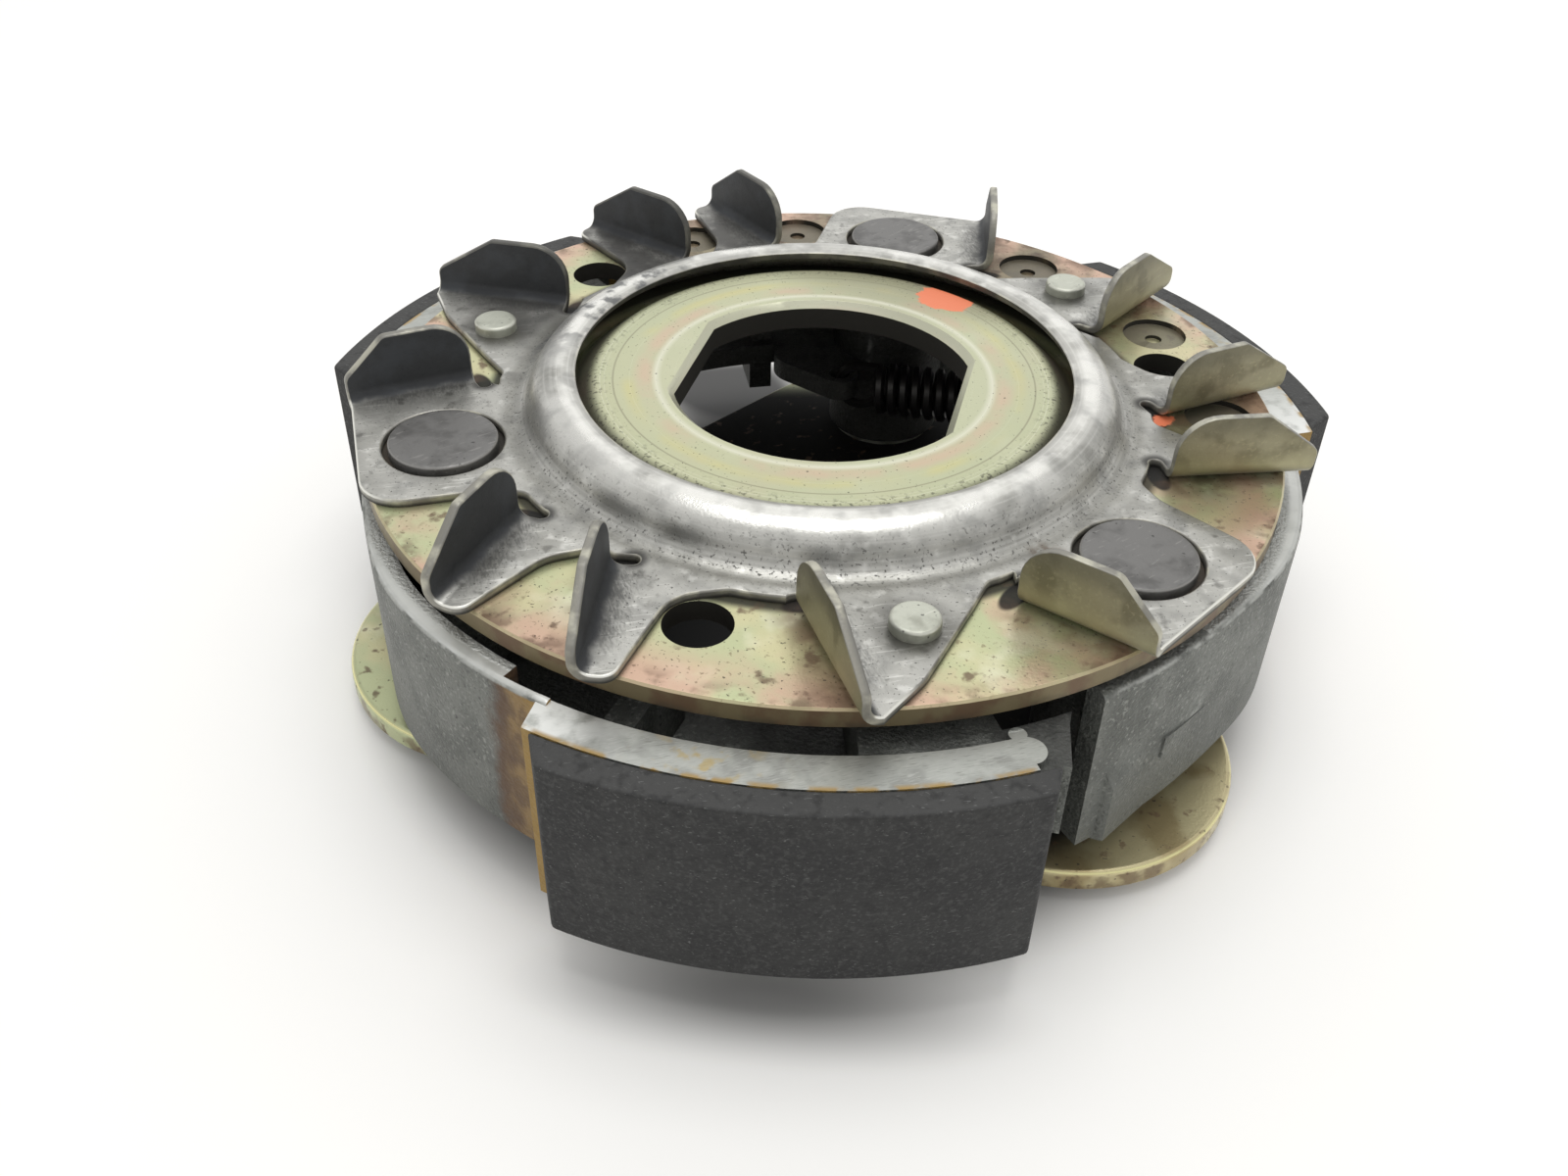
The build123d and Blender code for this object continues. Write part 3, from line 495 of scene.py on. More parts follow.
@dataclass
class Painter:
    """A material being made: its tree, its object coordinates, and its colour, metalness and roughness so far."""

    tree: bpy.types.NodeTree
    place: Socket
    colour: Socket | None = None
    metal: Socket | float = 0.0
    rough: Socket | float = 0.5

    @staticmethod
    def start(name: str) -> tuple[bpy.types.Material, Painter]:
        """Starts a new material.

        Args:
            name: The material's name.

        Returns:
            The empty material and its painter.
        """
        material = bpy.data.materials.new(name)
        material.use_nodes = True
        material.node_tree.nodes.clear()
        coordinates = add_node(material.node_tree, "TexCoord")
        return material, Painter(material.node_tree, coordinates.outputs["Object"])

    def ground(self, code: str, metal: float, rough: float) -> None:
        """Starts with one colour, metalness and roughness all over.

        Args:
            code: The colour.
            metal: The metalness.
            rough: The roughness.
        """
        self.colour = add_node(self.tree, "RGB").outputs[0]
        self.colour.default_value = linear(code)
        self.metal, self.rough = metal, rough

    def layer(self, code: str, *masks: Socket | float, metal: float | None = None,
              rough: float | None = None) -> None:
        """Paints over what is there, as far as the product of its masks goes.

        Args:
            code: The layer's colour.
            masks: How far it covers, each from 0 to 1.
            metal: Its metalness, if it changes that.
            rough: Its roughness, if it changes that.
        """
        # A Mix node takes colours at its inputs 6 and 7, and numbers at 2 and 3.
        mask = self.all_of(*masks)
        inputs = {0: mask, 6: self.colour, 7: linear(code)}
        self.colour = add_node(self.tree, "Mix", inputs, data_type="RGBA").outputs[2]
        if metal is not None:
            self.metal = add_node(self.tree, "Mix", {0: mask, 2: self.metal, 3: metal}).outputs[0]
        if rough is not None:
            self.rough = add_node(self.tree, "Mix", {0: mask, 2: self.rough, 3: rough}).outputs[0]

    def math(self, operation: str, first: Socket | float, second: Socket | float = 0.0) -> Socket:
        """The result of one sum on two values."""
        return add_node(self.tree, "Math", {0: first, 1: second}, operation=operation).outputs[0]

    def all_of(self, *masks: Socket | float) -> Socket:
        """The product of several masks.

        Args:
            masks: Sockets or numbers.

        Returns:
            Their product, or the mask itself where there is one.
        """
        result = masks[0]
        for mask in masks[1:]:
            result = self.math("MULTIPLY", result, mask)
        return result

    def blotches(self, size: float, low: float, high: float, strength: float = 1.0, detail: float = 4.0,
                 stretch: float = 1.0, turn: float = 0.0, shift: float = 0.0, place: Socket | None = None) -> Socket:
        """A mask of soft blotches.

        Args:
            size: Size of a blotch in millimetres.
            low: Noise value where the mask starts.
            high: Noise value where it is full.
            strength: Its greatest value.
            detail: Finer noise on top.
            stretch: How many times longer a blotch is than it is wide.
            turn: Direction of its length in degrees from +X.
            shift: Moves the pattern, so that two masks differ.
            place: Coordinates in metres, if not the object's own.

        Returns:
            The mask.
        """
        # The three steps of a shift are unequal, so a shifted pattern isn't met again along an axis.
        mapping = add_node(self.tree, "Mapping", {
            "Vector": place or self.place,
            "Location": (shift * 0.011, shift * 0.007, shift * 0.013),
            "Rotation": (0.0, 0.0, math.radians(turn)),
            "Scale": (size * MM * stretch, size * MM, size * MM),
        }, vector_type="TEXTURE")
        noise = add_node(self.tree, "TexNoise", {"Vector": mapping.outputs[0], "Scale": 1.0, "Detail": detail})
        return self.window(noise.outputs[0], low, high, strength)

    def rings(self, size: float, low: float, high: float, strength: float) -> Socket:
        """A mask of circles round the clutch axis, such as a press tool or a rubbing washer leaves.

        Args:
            size: Width of a circle in millimetres.
            low: Noise value where the mask starts.
            high: Noise value where it is full.
            strength: Its greatest value.

        Returns:
            The mask.
        """
        across = add_node(self.tree, "CombineXYZ", {0: self.math("MULTIPLY", self.radius, MM)})
        return self.blotches(size, low, high, strength, 3.0, place=across.outputs[0])

    def window(self, value: Socket, low: float, high: float, strength: float = 1.0) -> Socket:
        """A mask that rises smoothly from one value to another.

        Args:
            value: What it follows.
            low: Value where it is 0. It may be the greater one.
            high: Value where it is full.
            strength: Its greatest value.

        Returns:
            The mask.
        """
        inputs = {0: value, 1: low, 2: high, 3: 0.0, 4: strength}
        return add_node(self.tree, "MapRange", inputs, interpolation_type="SMOOTHSTEP").outputs[0]

    @cached_property
    def radius(self) -> Socket:
        """Distance from the clutch axis in millimetres."""
        return self.near(0.0, 0.0)

    @cached_property
    def sector(self) -> Socket:
        """Coordinates in the sector that starts 25 degrees before each pivot pin, with the pin on +X."""
        before = 25.0
        angle = self.math("SUBTRACT", self.angle(360.0 / SECTORS, FIRST_PIVOT - before), before)
        turn = self.math("MULTIPLY", angle, math.pi / 180.0)
        reach = self.math("MULTIPLY", self.radius, MM)
        along = self.math("MULTIPLY", reach, self.math("COSINE", turn))
        across = self.math("MULTIPLY", reach, self.math("SINE", turn))
        parts = add_node(self.tree, "SeparateXYZ", {0: self.place})
        return add_node(self.tree, "CombineXYZ", {0: along, 1: across, 2: parts.outputs[2]}).outputs[0]

    def near(self, x: float, y: float, wide: float = 1.0, turn: float = 0.0, place: Socket | None = None) -> Socket:
        """Distance in millimetres from the upright line through a point.

        Args:
            x: The point's X.
            y: The point's Y.
            wide: How many times farther the same distance reaches along a direction.
            turn: That direction in degrees from +X.
            place: Coordinates in metres, if not the object's own.

        Returns:
            The distance.
        """
        mapping = add_node(self.tree, "Mapping", {
            "Vector": place or self.place,
            "Location": (x * MM, y * MM, 0.0),
            "Rotation": (0.0, 0.0, math.radians(turn)),
            "Scale": (MM * wide, MM, MM),
        }, vector_type="TEXTURE")
        level = (1.0, 1.0, 0.0)
        flat = add_node(self.tree, "VectorMath", {0: mapping.outputs[0], 1: level}, operation="MULTIPLY")
        return add_node(self.tree, "VectorMath", {0: flat.outputs[0]}, operation="LENGTH").outputs[1]

    def beyond(self, fold: Fold) -> tuple[Socket, Socket]:
        """How far a place of the sector lies from a fold's root.

        Args:
            fold: The fold.

        Returns:
            The distance across the fold, towards the flat sheet, and the distance along it, in millimetres.
        """
        forward, sideways = fold.directions()
        distances = []
        for axis in (sideways, forward):
            rate = (float(axis[0]) / MM, float(axis[1]) / MM, 0.0)
            total = add_node(self.tree, "VectorMath", {0: self.sector, 1: rate}, operation="DOT_PRODUCT")
            distances.append(self.math("SUBTRACT", total.outputs["Value"], float(axis @ np.array(fold.root))))
        return distances[0], distances[1]

    @cached_property
    def height(self) -> Socket:
        """Height above the drive plate's upper face in millimetres."""
        parts = add_node(self.tree, "SeparateXYZ", {0: self.place})
        return self.math("MULTIPLY", parts.outputs[2], 1000.0)

    @cached_property
    def up(self) -> Socket:
        """How far the surface looks up: 1 on a level face, 0 on a wall and -1 underneath."""
        geometry = add_node(self.tree, "NewGeometry")
        return add_node(self.tree, "SeparateXYZ", {0: geometry.outputs["Normal"]}).outputs[2]

    def angle(self, span: float = 360.0, start: float = 0.0) -> Socket:
        """Angle round the clutch axis.

        Args:
            span: Degrees after which it is counted again from 0.
            start: Where it is 0, in degrees from +X.

        Returns:
            The angle in degrees.
        """
        parts = add_node(self.tree, "SeparateXYZ", {0: self.place})
        degrees = self.math("MULTIPLY", self.math("ARCTAN2", parts.outputs[1], parts.outputs[0]), 180.0 / math.pi)
        return self.math("FLOORED_MODULO", self.math("SUBTRACT", degrees, start), span)

    def band(self, value: Socket, middle: float, half_width: float, strength: float = 1.0) -> Socket:
        """A mask that is full at one value and fades to nothing half a width away on both sides."""
        away = self.math("ABSOLUTE", self.math("SUBTRACT", value, middle))
        return self.window(away, half_width, 0.0, strength)

    def mark(self, name: str) -> Socket:
        """A named value of the mesh's points."""
        return add_node(self.tree, "Attribute", attribute_name=name).outputs["Fac"]

    def bump(self, height: Socket, depth: float, normal: Socket | None = None) -> Socket:
        """A normal from a height pattern.

        Args:
            height: The pattern, from 0 to 1.
            depth: Its depth in millimetres.
            normal: The normal that it adds to, if there is one.

        Returns:
            The normal.
        """
        inputs = {"Height": height, "Distance": depth * MM, "Strength": 1.0}
        if normal is not None:
            inputs["Normal"] = normal
        return add_node(self.tree, "Bump", inputs).outputs[0]

    def finish(self, normal: Socket | None = None) -> None:
        """Ends the material with its surface shader.

        Args:
            normal: The normal, if the surface has a bump.
        """
        inputs = {"Base Color": self.colour, "Metallic": self.metal, "Roughness": self.rough}
        if normal is not None:
            inputs["Normal"] = normal
        shader = add_node(self.tree, "BsdfPrincipled", inputs)
        add_node(self.tree, "OutputMaterial", {"Surface": shader.outputs[0]})


@dataclass(frozen=True)
class FanSteel:
    """Cold-rolled steel sheet, pressed and folded with no coating. It is satin grey, bright where it was
    drawn over the die or rubbed, black with dust inside the fins and straw-bronze outside them."""

    steel: str = "b4b3ad"
    shade: str = "85847d"
    worn: str = "e6e5df"
    stain_and_shade: str = "55544f"
    back_left_shade: str = "484745"
    scuff: str = "4b4d50"
    rust: str = "5a4632"
    grime: str = "2b2926"
    fin_soot_and_shade: str = "4b4b49"
    soot: str = "2c2e31"
    pale_soot: str = "44474b"
    bronze: str = "989274"
    dark_bronze: str = "6a644c"
    scratch: str = "b4ad8c"
    bronze_reflection: str = "bdb791"
    upper_bronze_shade: str = "625f50"
    cream_and_highlight: str = "e2dfca"
    cut_edge: str = "8d8b84"
    back_edge_shade: str = "3b3b39"
    tip_highlight: str = "f4f3ea"
    seam: str = "24231f"

    def sheet(self, paint: Painter) -> None:
        """The dome and the flat sheet: bright over the crest, dusty round its foot with painted shade in its bend,
        scratched and stained beyond, and painted shade at the back left.

        Args:
            paint: The painter of the material.
        """
        radius, level = paint.radius, paint.window(paint.up, 0.3, 0.7)
        paint.ground(self.steel, 0.82, 0.36)
        paint.layer(self.shade, paint.blotches(8.0, 0.46, 0.68, 0.5))
        paint.layer(self.worn, paint.blotches(2.2, 0.54, 0.72, 0.5, 6.0, shift=3.0), rough=0.28)
        scratches = paint.blotches(0.35, 0.60, 0.70, 0.55, 3.0, stretch=14.0, turn=28.0)
        paint.layer(self.worn, scratches, paint.window(radius, 47.0, 50.0))
        dome = paint.window(radius, 46.0, 44.5)
        paint.layer(self.worn, dome, paint.rings(0.5, 0.46, 0.62, 0.35), rough=0.30)
        crest = paint.all_of(paint.window(radius, 43.0, 39.5), paint.window(radius, 36.2, 37.6))
        paint.layer(self.worn, crest, paint.blotches(9.0, 0.30, 0.55, 0.9, shift=9.0), rough=0.26)
        # Painted shade in the concave bend round the dome's foot.
        paint.layer(self.shade, paint.band(radius, 45.4, 1.9), 0.7)
        dust = paint.blotches(0.45, 0.58, 0.68, 0.75, 4.0, shift=5.0)
        paint.layer(self.grime, paint.band(radius, 43.6, 4.6), dust, metal=0.2, rough=0.7)
        flat = paint.window(radius, 43.0, 50.0)
        paint.layer(self.grime, flat, paint.blotches(0.42, 0.62, 0.70, 0.75, 3.0, shift=1.0), metal=0.2, rough=0.7)
        paint.layer(self.stain_and_shade, flat, paint.blotches(2.4, 0.58, 0.72, 0.6, 6.0, shift=19.0))
        spot = paint.window(paint.near(37.8, -31.4, wide=1.6, turn=-38.0), 3.6, 1.6)
        paint.layer(self.rust, spot, paint.blotches(2.0, 0.40, 0.56, 0.8, shift=12.0), metal=0.3, rough=0.6)
        # Painted shade over the flat sheet at the back left.
        back_left = paint.window(paint.near(-46.0, 34.0), 38.0, 18.0)
        paint.layer(
            self.back_left_shade, back_left, paint.window(radius, 45.5, 49.0), level,
            paint.blotches(6.0, 0.20, 0.54, 0.92, 6.0, shift=23.0), metal=0.4, rough=0.5,
        )
        left = paint.window(paint.near(-41.0, 16.0, wide=1.5, turn=110.0), 20.0, 8.0)
        paint.layer(self.scuff, dome, left, paint.blotches(3.0, 0.46, 0.60, 0.8, 8.0, shift=26.0), metal=0.5, rough=0.5)

    def fins(self, paint: Painter) -> None:
        """Soot and painted shade at the fins' feet, painted shade round the rivets, soot on the fins' inner faces, and
        bronze on their outer ones with a painted reflection low down, painted shade high up and a painted highlight on
        the bend.

        Args:
            paint: The painter of the material.
        """
        level = paint.window(paint.up, 0.3, 0.7)
        inside, outside = paint.mark("inside"), paint.mark("outside")
        rubbed = paint.blotches(0.3, 0.30, 0.70, 1.8, 4.0, stretch=3.0, turn=120.0, shift=8.0)
        for fold in FINS:
            across, along = paint.beyond(fold)
            across = paint.math("ADD", across, rubbed)
            # Soot and painted shade on the flat sheet beside each fin's inner face.
            paint.layer(
                self.fin_soot_and_shade, paint.window(across, 7.2, 2.6), paint.window(across, -0.5, 0.5),
                paint.window(along, 1.0, 3.0), paint.window(along, 21.5, 13.0, 0.85), level, metal=0.45, rough=0.50,
            )
            # Painted shade round the end of each relief slot.
            slot = paint.near(*fold.place(0.0, FanPlate.relief_reach), place=paint.sector)
            paint.layer(self.grime, paint.window(slot, 2.6, 1.2, 0.85), metal=0.2, rough=0.7)
        # Painted shade on the flat sheet round each rivet's head.
        head = paint.near(*polar(DAMPER_CIRCLE, DAMPER_ANGLE), place=paint.sector)
        paint.layer(self.stain_and_shade, paint.window(head, 7.5, 3.5, 0.6), level)
        uneven = paint.blotches(4.0, 0.30, 0.70, 0.5, shift=2.0)
        soot = paint.window(paint.math("SUBTRACT", paint.math("ADD", inside, inside), uneven), -0.35, 0.75, 0.97)
        paint.layer(self.soot, soot, metal=0.22, rough=0.58)
        paint.layer(self.pale_soot, soot, paint.blotches(5.0, 0.45, 0.68, 0.6, shift=15.0))
        paint.layer(self.bronze, paint.window(outside, 0.0, 0.5, 0.92), metal=0.55, rough=0.50)
        paint.layer(self.dark_bronze, outside, paint.blotches(5.0, 0.48, 0.64, 0.6, shift=4.0))
        paint.layer(self.scratch, outside, paint.blotches(0.6, 0.56, 0.68, 0.3, 3.0, stretch=6.0, turn=70.0))
        # Painted reflection of the plate: the fins' outer faces lighter low down.
        low = paint.window(paint.height, 5.5, 1.8, 0.6)
        paint.layer(self.bronze_reflection, outside, low, paint.blotches(9.0, 0.30, 0.6, 1.0, shift=27.0))
        # Painted shade: the fins' outer faces darker high up.
        paint.layer(self.upper_bronze_shade, outside, paint.window(paint.height, 6.0, 9.5, 0.6))
        # Painted highlight along each fin's outer bend.
        paint.layer(self.cream_and_highlight, outside, paint.window(paint.height, 1.7, 0.5), 0.9)

    def edges(self, paint: Painter) -> None:
        """The cut edges: grey, with a painted highlight at the tips, painted shade at the back left and a painted
        shadow against the plate below; faces that look down get painted shade.

        Args:
            paint: The painter of the material.
        """
        radius, height, up = paint.radius, paint.height, paint.up
        edge = paint.mark("edge")
        paint.layer(self.cut_edge, paint.window(edge, 0.2, 0.8, 0.9), metal=0.6, rough=0.42)
        paint.layer(self.cream_and_highlight, edge, paint.blotches(3.2, 0.44, 0.66, 0.5, shift=7.0), rough=0.36)
        # Painted shade on the cut edges at the back left.
        paint.layer(self.back_edge_shade, edge, paint.window(paint.near(-46.0, 38.0), 36.0, 22.0, 0.75))
        # Painted highlight on the rounded top of the cut edges at the fins' tips.
        tips = (paint.window(radius, 63.0, 66.5), paint.window(height, 1.8, 1.3), paint.window(up, 0.15, 0.5))
        paint.layer(self.tip_highlight, edge, *tips, metal=0.5, rough=0.3)
        # Painted shadow along the foot of the cut edges, against the plate.
        below = (paint.window(height, 0.75, 0.2), paint.window(up, 0.5, 0.1))
        paint.layer(self.seam, edge, *below, 0.85, metal=0.2, rough=0.7)
        # Painted shade on faces that look down.
        paint.layer(self.grime, paint.window(up, -0.3, -0.8, 0.35))

    def material(self) -> bpy.types.Material:
        """The finished material, with a fine grain on shallow dents."""
        material, paint = Painter.start("bare pressed steel")
        self.sheet(paint)
        self.fins(paint)
        self.edges(paint)
        dents = paint.bump(paint.blotches(6.0, 0.3, 0.7, 1.0, 2.0, shift=6.0), 0.05)
        paint.finish(paint.bump(paint.blotches(0.35, 0.2, 0.8, 1.0, 3.0), 0.012, dents))
        return material


@dataclass(frozen=True)
class YellowZinc:
    """Zinc plating with a yellow chromate film on pressed steel. The film is uneven, so its colour goes
    from pale green through straw to pink, and it is brown where it has worn or stained."""

    straw: str = "cfcaa0"
    green: str = "bcc39a"
    pink: str = "cfad97"
    pale: str = "e2e0c4"
    brown: str = "6b5340"
    grime: str = "34302a"

    def films(self, paint: Painter) -> None:
        """The plating and its film's colours.

        Args:
            paint: The painter of the material.
        """
        paint.ground(self.straw, 0.62, 0.30)
        paint.layer(self.green, paint.blotches(17.0, 0.42, 0.58, 0.9))
        paint.layer(self.pink, paint.blotches(13.0, 0.54, 0.68, 0.6, shift=5.0))
        paint.layer(self.pale, paint.blotches(9.0, 0.54, 0.70, 0.7, shift=8.0))

    def grained(self, paint: Painter) -> None:
        """Ends the material with the fine grain of the rolled sheet under the plating."""
        paint.finish(paint.bump(paint.blotches(0.4, 0.2, 0.8, 1.0, 3.0), 0.012))


@dataclass(frozen=True)
class DrivePlateZinc(YellowZinc):
    """The drive plate's zinc: rubbed rings on its raised disc, dirt and painted shade at its edges and under the fan, a
    painted highlight on its rim, and two dabs of marking paint.
    """

    disc: str = "b9bc9b"
    disc_yellow: str = "c9c183"
    disc_back_shade: str = "918d72"
    rubbed_ring: str = "dfdecb"
    scribed_ring: str = "8d8a70"
    polish: str = "e4e3d2"
    seam: str = "24231f"
    back_shade: str = "84775f"
    back_stain: str = "54483a"
    side_stain: str = "5f5a43"
    slot_shade: str = "181715"
    drill_floor: str = "757062"
    rim: str = "7c7054"
    rim_dirt: str = "4a4334"
    rim_highlight: str = "c9bd97"
    hole_shade: str = "33312c"
    hub_bevel: str = "cdccb8"
    marking_paint: str = "f0845c"
    disc_rise: tuple[float, float] = (3.6, 4.2)

    def raised_disc(self, paint: Painter) -> None:
        """The disc that the nut clamps: rings of rubbed film round the hub hole, painted shade over its back, dust and
        painted shade under the fan's dome, and painted shade round the fan's foot.

        Args:
            paint: The painter of the material.
        """
        radius = paint.radius
        disc = paint.window(paint.height, *self.disc_rise)
        paint.layer(self.disc, disc, 0.85, metal=0.45, rough=0.32)
        paint.layer(self.pink, disc, paint.band(radius, 26.0, 2.2, 0.6), paint.blotches(12.0, 0.42, 0.62))
        yellow = paint.band(radius, 28.3, 1.6, 0.6)
        paint.layer(self.disc_yellow, disc, yellow, paint.blotches(14.0, 0.36, 0.6, shift=3.0))
        # Painted shade over the back of the disc.
        paint.layer(self.disc_back_shade, disc, paint.window(paint.near(6.0, 34.0, wide=2.0, turn=-8.0), 16.0, 7.0, 0.5))
        paint.layer(self.rubbed_ring, disc, paint.band(radius, 24.3, 0.9, 0.6), rough=0.28)
        paint.layer(self.scribed_ring, disc, paint.band(radius, 30.5, 0.22, 0.8))
        paint.layer(self.polish, disc, paint.rings(0.35, 0.56, 0.66, 0.4), rough=0.25)
        # Painted shade under the lip of the fan's dome.
        under_dome_shade = (paint.window(radius, 32.4, 34.6, 0.9), paint.window(radius, 38.5, 36.0))
        paint.layer(self.grime, *under_dome_shade, metal=0.2, rough=0.6)
        dust = paint.blotches(0.6, 0.54, 0.66, 0.7, 6.0, shift=2.0)
        paint.layer(self.grime, disc, paint.window(radius, 30.5, 33.5), dust, metal=0.2, rough=0.7)
        # Painted shade under and along the foot of the fan.
        fan_foot_shade = (paint.window(radius, 50.2, 48.6, 0.92), paint.window(radius, 40.0, 42.0))
        paint.layer(self.seam, *fan_foot_shade, metal=0.2, rough=0.7)

    def outer_ring(self, paint: Painter) -> None:
        """The plate outside the fan: painted shade and brown stains at the back, pink and brown towards the rim.

        Args:
            paint: The painter of the material.
        """
        radius = paint.radius
        past_fan = paint.window(radius, 45.0, 48.0)
        # Painted shade over the back of the plate, with brown stains in it.
        back = paint.all_of(paint.window(paint.near(0.0, 78.0), 76.0, 38.0), past_fan)
        paint.layer(self.back_shade, back, 0.95)
        stains = paint.blotches(3.0, 0.46, 0.64, 0.8, 6.0, shift=24.0)
        paint.layer(self.back_stain, back, stains, metal=0.3, rough=0.5)
        right = paint.window(paint.near(54.0, 3.0, wide=1.4, turn=90.0), 13.0, 6.0)
        stains = paint.blotches(3.0, 0.26, 0.56, 0.8, 6.0, shift=28.0)
        paint.layer(self.side_stain, right, past_fan, stains, metal=0.4, rough=0.45)
        paint.layer(self.pink, paint.window(radius, 56.0, 64.5), paint.blotches(11.0, 0.34, 0.54, 0.95, shift=2.0))
        for zone, spots in (
            (paint.window(radius, 62.0, 65.8), paint.blotches(4.0, 0.46, 0.64, 0.75, shift=1.0)),
            (paint.window(radius, 47.0, 50.0), paint.blotches(3.2, 0.60, 0.70, 0.8, shift=11.0)),
        ):
            paint.layer(self.brown, zone, spots, metal=0.3, rough=0.5)

    def under_fan(self, paint: Painter) -> None:
        """Painted shade round the pins' heads and in the fan's relief slots, brown stains beside the fins' roots, and
        specks of dirt.

        Args:
            paint: The painter of the material.
        """
        # Painted shade in the gap round each pin's head.
        pin = paint.near(PIVOT_RADIUS, 0.0, place=paint.sector)
        paint.layer(self.grime, paint.window(pin, 9.6, 8.2, 0.95), metal=0.1, rough=0.75)
        for fold in FINS:
            turn = math.degrees(math.atan2(*fold.directions()[1][::-1]))
            # Painted shade in each relief slot.
            slot = paint.near(*fold.place(0.0, 1.9), wide=2.2, turn=turn, place=paint.sector)
            paint.layer(self.slot_shade, paint.window(slot, 1.7, 1.25, 0.97), metal=0.1, rough=0.8)
            across, along = paint.beyond(fold)
            paint.layer(
                self.brown, paint.window(across, -4.5, -0.3, 0.75), paint.window(across, 1.5, 0.5),
                paint.window(along, -2.0, 2.0), paint.blotches(4.0, 0.30, 0.62, 0.9, shift=22.0),
                metal=0.35, rough=0.5,
            )
        paint.layer(self.grime, paint.blotches(0.45, 0.66, 0.72, 0.85, 3.0, shift=6.0), metal=0.1, rough=0.7)
        specks = paint.blotches(0.8, 0.60, 0.70, 0.6, 5.0, shift=16.0)
        paint.layer(self.brown, paint.window(paint.radius, 52.0, 60.0), specks, metal=0.3, rough=0.6)

    def walls(self, paint: Painter) -> None:
        """The drillings' floors, the rim's wall with a painted highlight on its rounded top, painted shade on the walls
        of the holes, the hub hole's bevel and the underside.

        Args:
            paint: The painter of the material.
        """
        radius, height, up = paint.radius, paint.height, paint.up
        off_floor = paint.math("ABSOLUTE", paint.math("ADD", height, 0.95))
        paint.layer(self.drill_floor, paint.window(off_floor, 0.16, 0.04, 0.8), rough=0.5)
        upright = paint.window(up, 0.55, 0.25)
        rim = paint.all_of(upright, paint.window(radius, 64.0, 65.0))
        paint.layer(self.rim, rim, metal=0.5, rough=0.45)
        paint.layer(self.brown, rim, paint.blotches(5.0, 0.42, 0.62, 0.8, shift=13.0))
        low = paint.window(height, -1.4, -2.8)
        paint.layer(self.rim_dirt, rim, low, paint.blotches(4.0, 0.44, 0.66, 0.8, shift=3.0), metal=0.3, rough=0.6)
        # Painted highlight on the rounded top of the rim.
        corner = (paint.band(up, 0.6, 0.42), paint.window(radius, 64.5, 65.2))
        paint.layer(self.rim_highlight, *corner, 0.8, metal=0.7, rough=0.3)
        # Painted shade on the walls of the holes.
        paint.layer(self.hole_shade, paint.window(radius, 63.5, 62.5), upright, metal=0.3, rough=0.6)
        bevel = (paint.window(radius, 24.6, 23.9), paint.band(up, 0.7, 0.42))
        paint.layer(self.hub_bevel, *bevel, 0.75, metal=0.6, rough=0.32)
        paint.layer(self.brown, paint.window(up, -0.3, -0.8, 0.5), metal=0.4, rough=0.5)

    def dabs(self, paint: Painter) -> None:
        """Two dabs of marking paint with ragged ends, a long one on the disc and a small one beside a fin.

        Args:
            paint: The painter of the material.
        """
        ragged = paint.blotches(1.2, 0.0, 1.0, 1.6, shift=3.0)
        for place, length, wide, turn in ((polar(31.2, 65.5), 3.7, 1.24, -20.0), (polar(49.6, 10.4), 1.3, 1.4, 60.0)):
            away = paint.math("ADD", paint.near(*place, wide=wide, turn=turn), ragged)
            dab = paint.window(away, length + 1.0, length + 0.6, 0.95)
            paint.layer(self.marking_paint, dab, metal=0.0, rough=0.55)

    def material(self) -> bpy.types.Material:
        """The finished material."""
        material, paint = Painter.start("yellow zinc plate")
        self.films(paint)
        self.raised_disc(paint)
        self.outer_ring(paint)
        self.under_fan(paint)
        self.walls(paint)
        self.dabs(paint)
        self.grained(paint)
        return material


@dataclass(frozen=True)
class SidePlateZinc(YellowZinc):
    """The side plate's zinc: painted light on its right lobe, a painted highlight round its rolled edge, flecked with
    brown, and painted shade under the shoes.
    """

    right_lobe_light: str = "d2c69c"
    lobe_stain: str = "a08c62"
    shade_under_shoes: str = "12110f"
    edge_highlight: str = "f4edb0"

    def material(self) -> bpy.types.Material:
        """The finished material."""
        material, paint = Painter.start("yellow zinc side plate")
        up = paint.up
        self.films(paint)
        # Painted light over the right lobe, with stains in it.
        right = paint.window(paint.near(50.0, -26.0), 40.0, 20.0)
        paint.layer(self.right_lobe_light, right, 0.9)
        paint.layer(self.lobe_stain, right, paint.blotches(9.0, 0.46, 0.66, 0.7, shift=4.0))
        # Painted shade on the plate's top under the shoes.
        hidden = (paint.window(paint.radius, 68.0, 60.0), paint.window(up, 0.2, 0.6))
        paint.layer(self.shade_under_shoes, *hidden, metal=0.05, rough=0.8)
        paint.layer(self.brown, paint.blotches(2.2, 0.60, 0.70, 0.75, 5.0, shift=3.0), metal=0.3, rough=0.5)
        # Painted highlight along the rolled edge.
        bright = (paint.band(up, 0.66, 0.30), paint.blotches(12.0, 0.30, 0.5, 0.95, shift=5.0))
        paint.layer(self.edge_highlight, *bright, metal=0.6, rough=0.22)
        paint.layer(self.brown, paint.window(up, 0.35, 0.1), paint.blotches(4.0, 0.46, 0.62, 0.7, shift=9.0))
        paint.layer(self.grime, paint.blotches(0.9, 0.66, 0.73, 0.8, 3.0, shift=6.0), metal=0.1, rough=0.7)
        self.grained(paint)
        return material


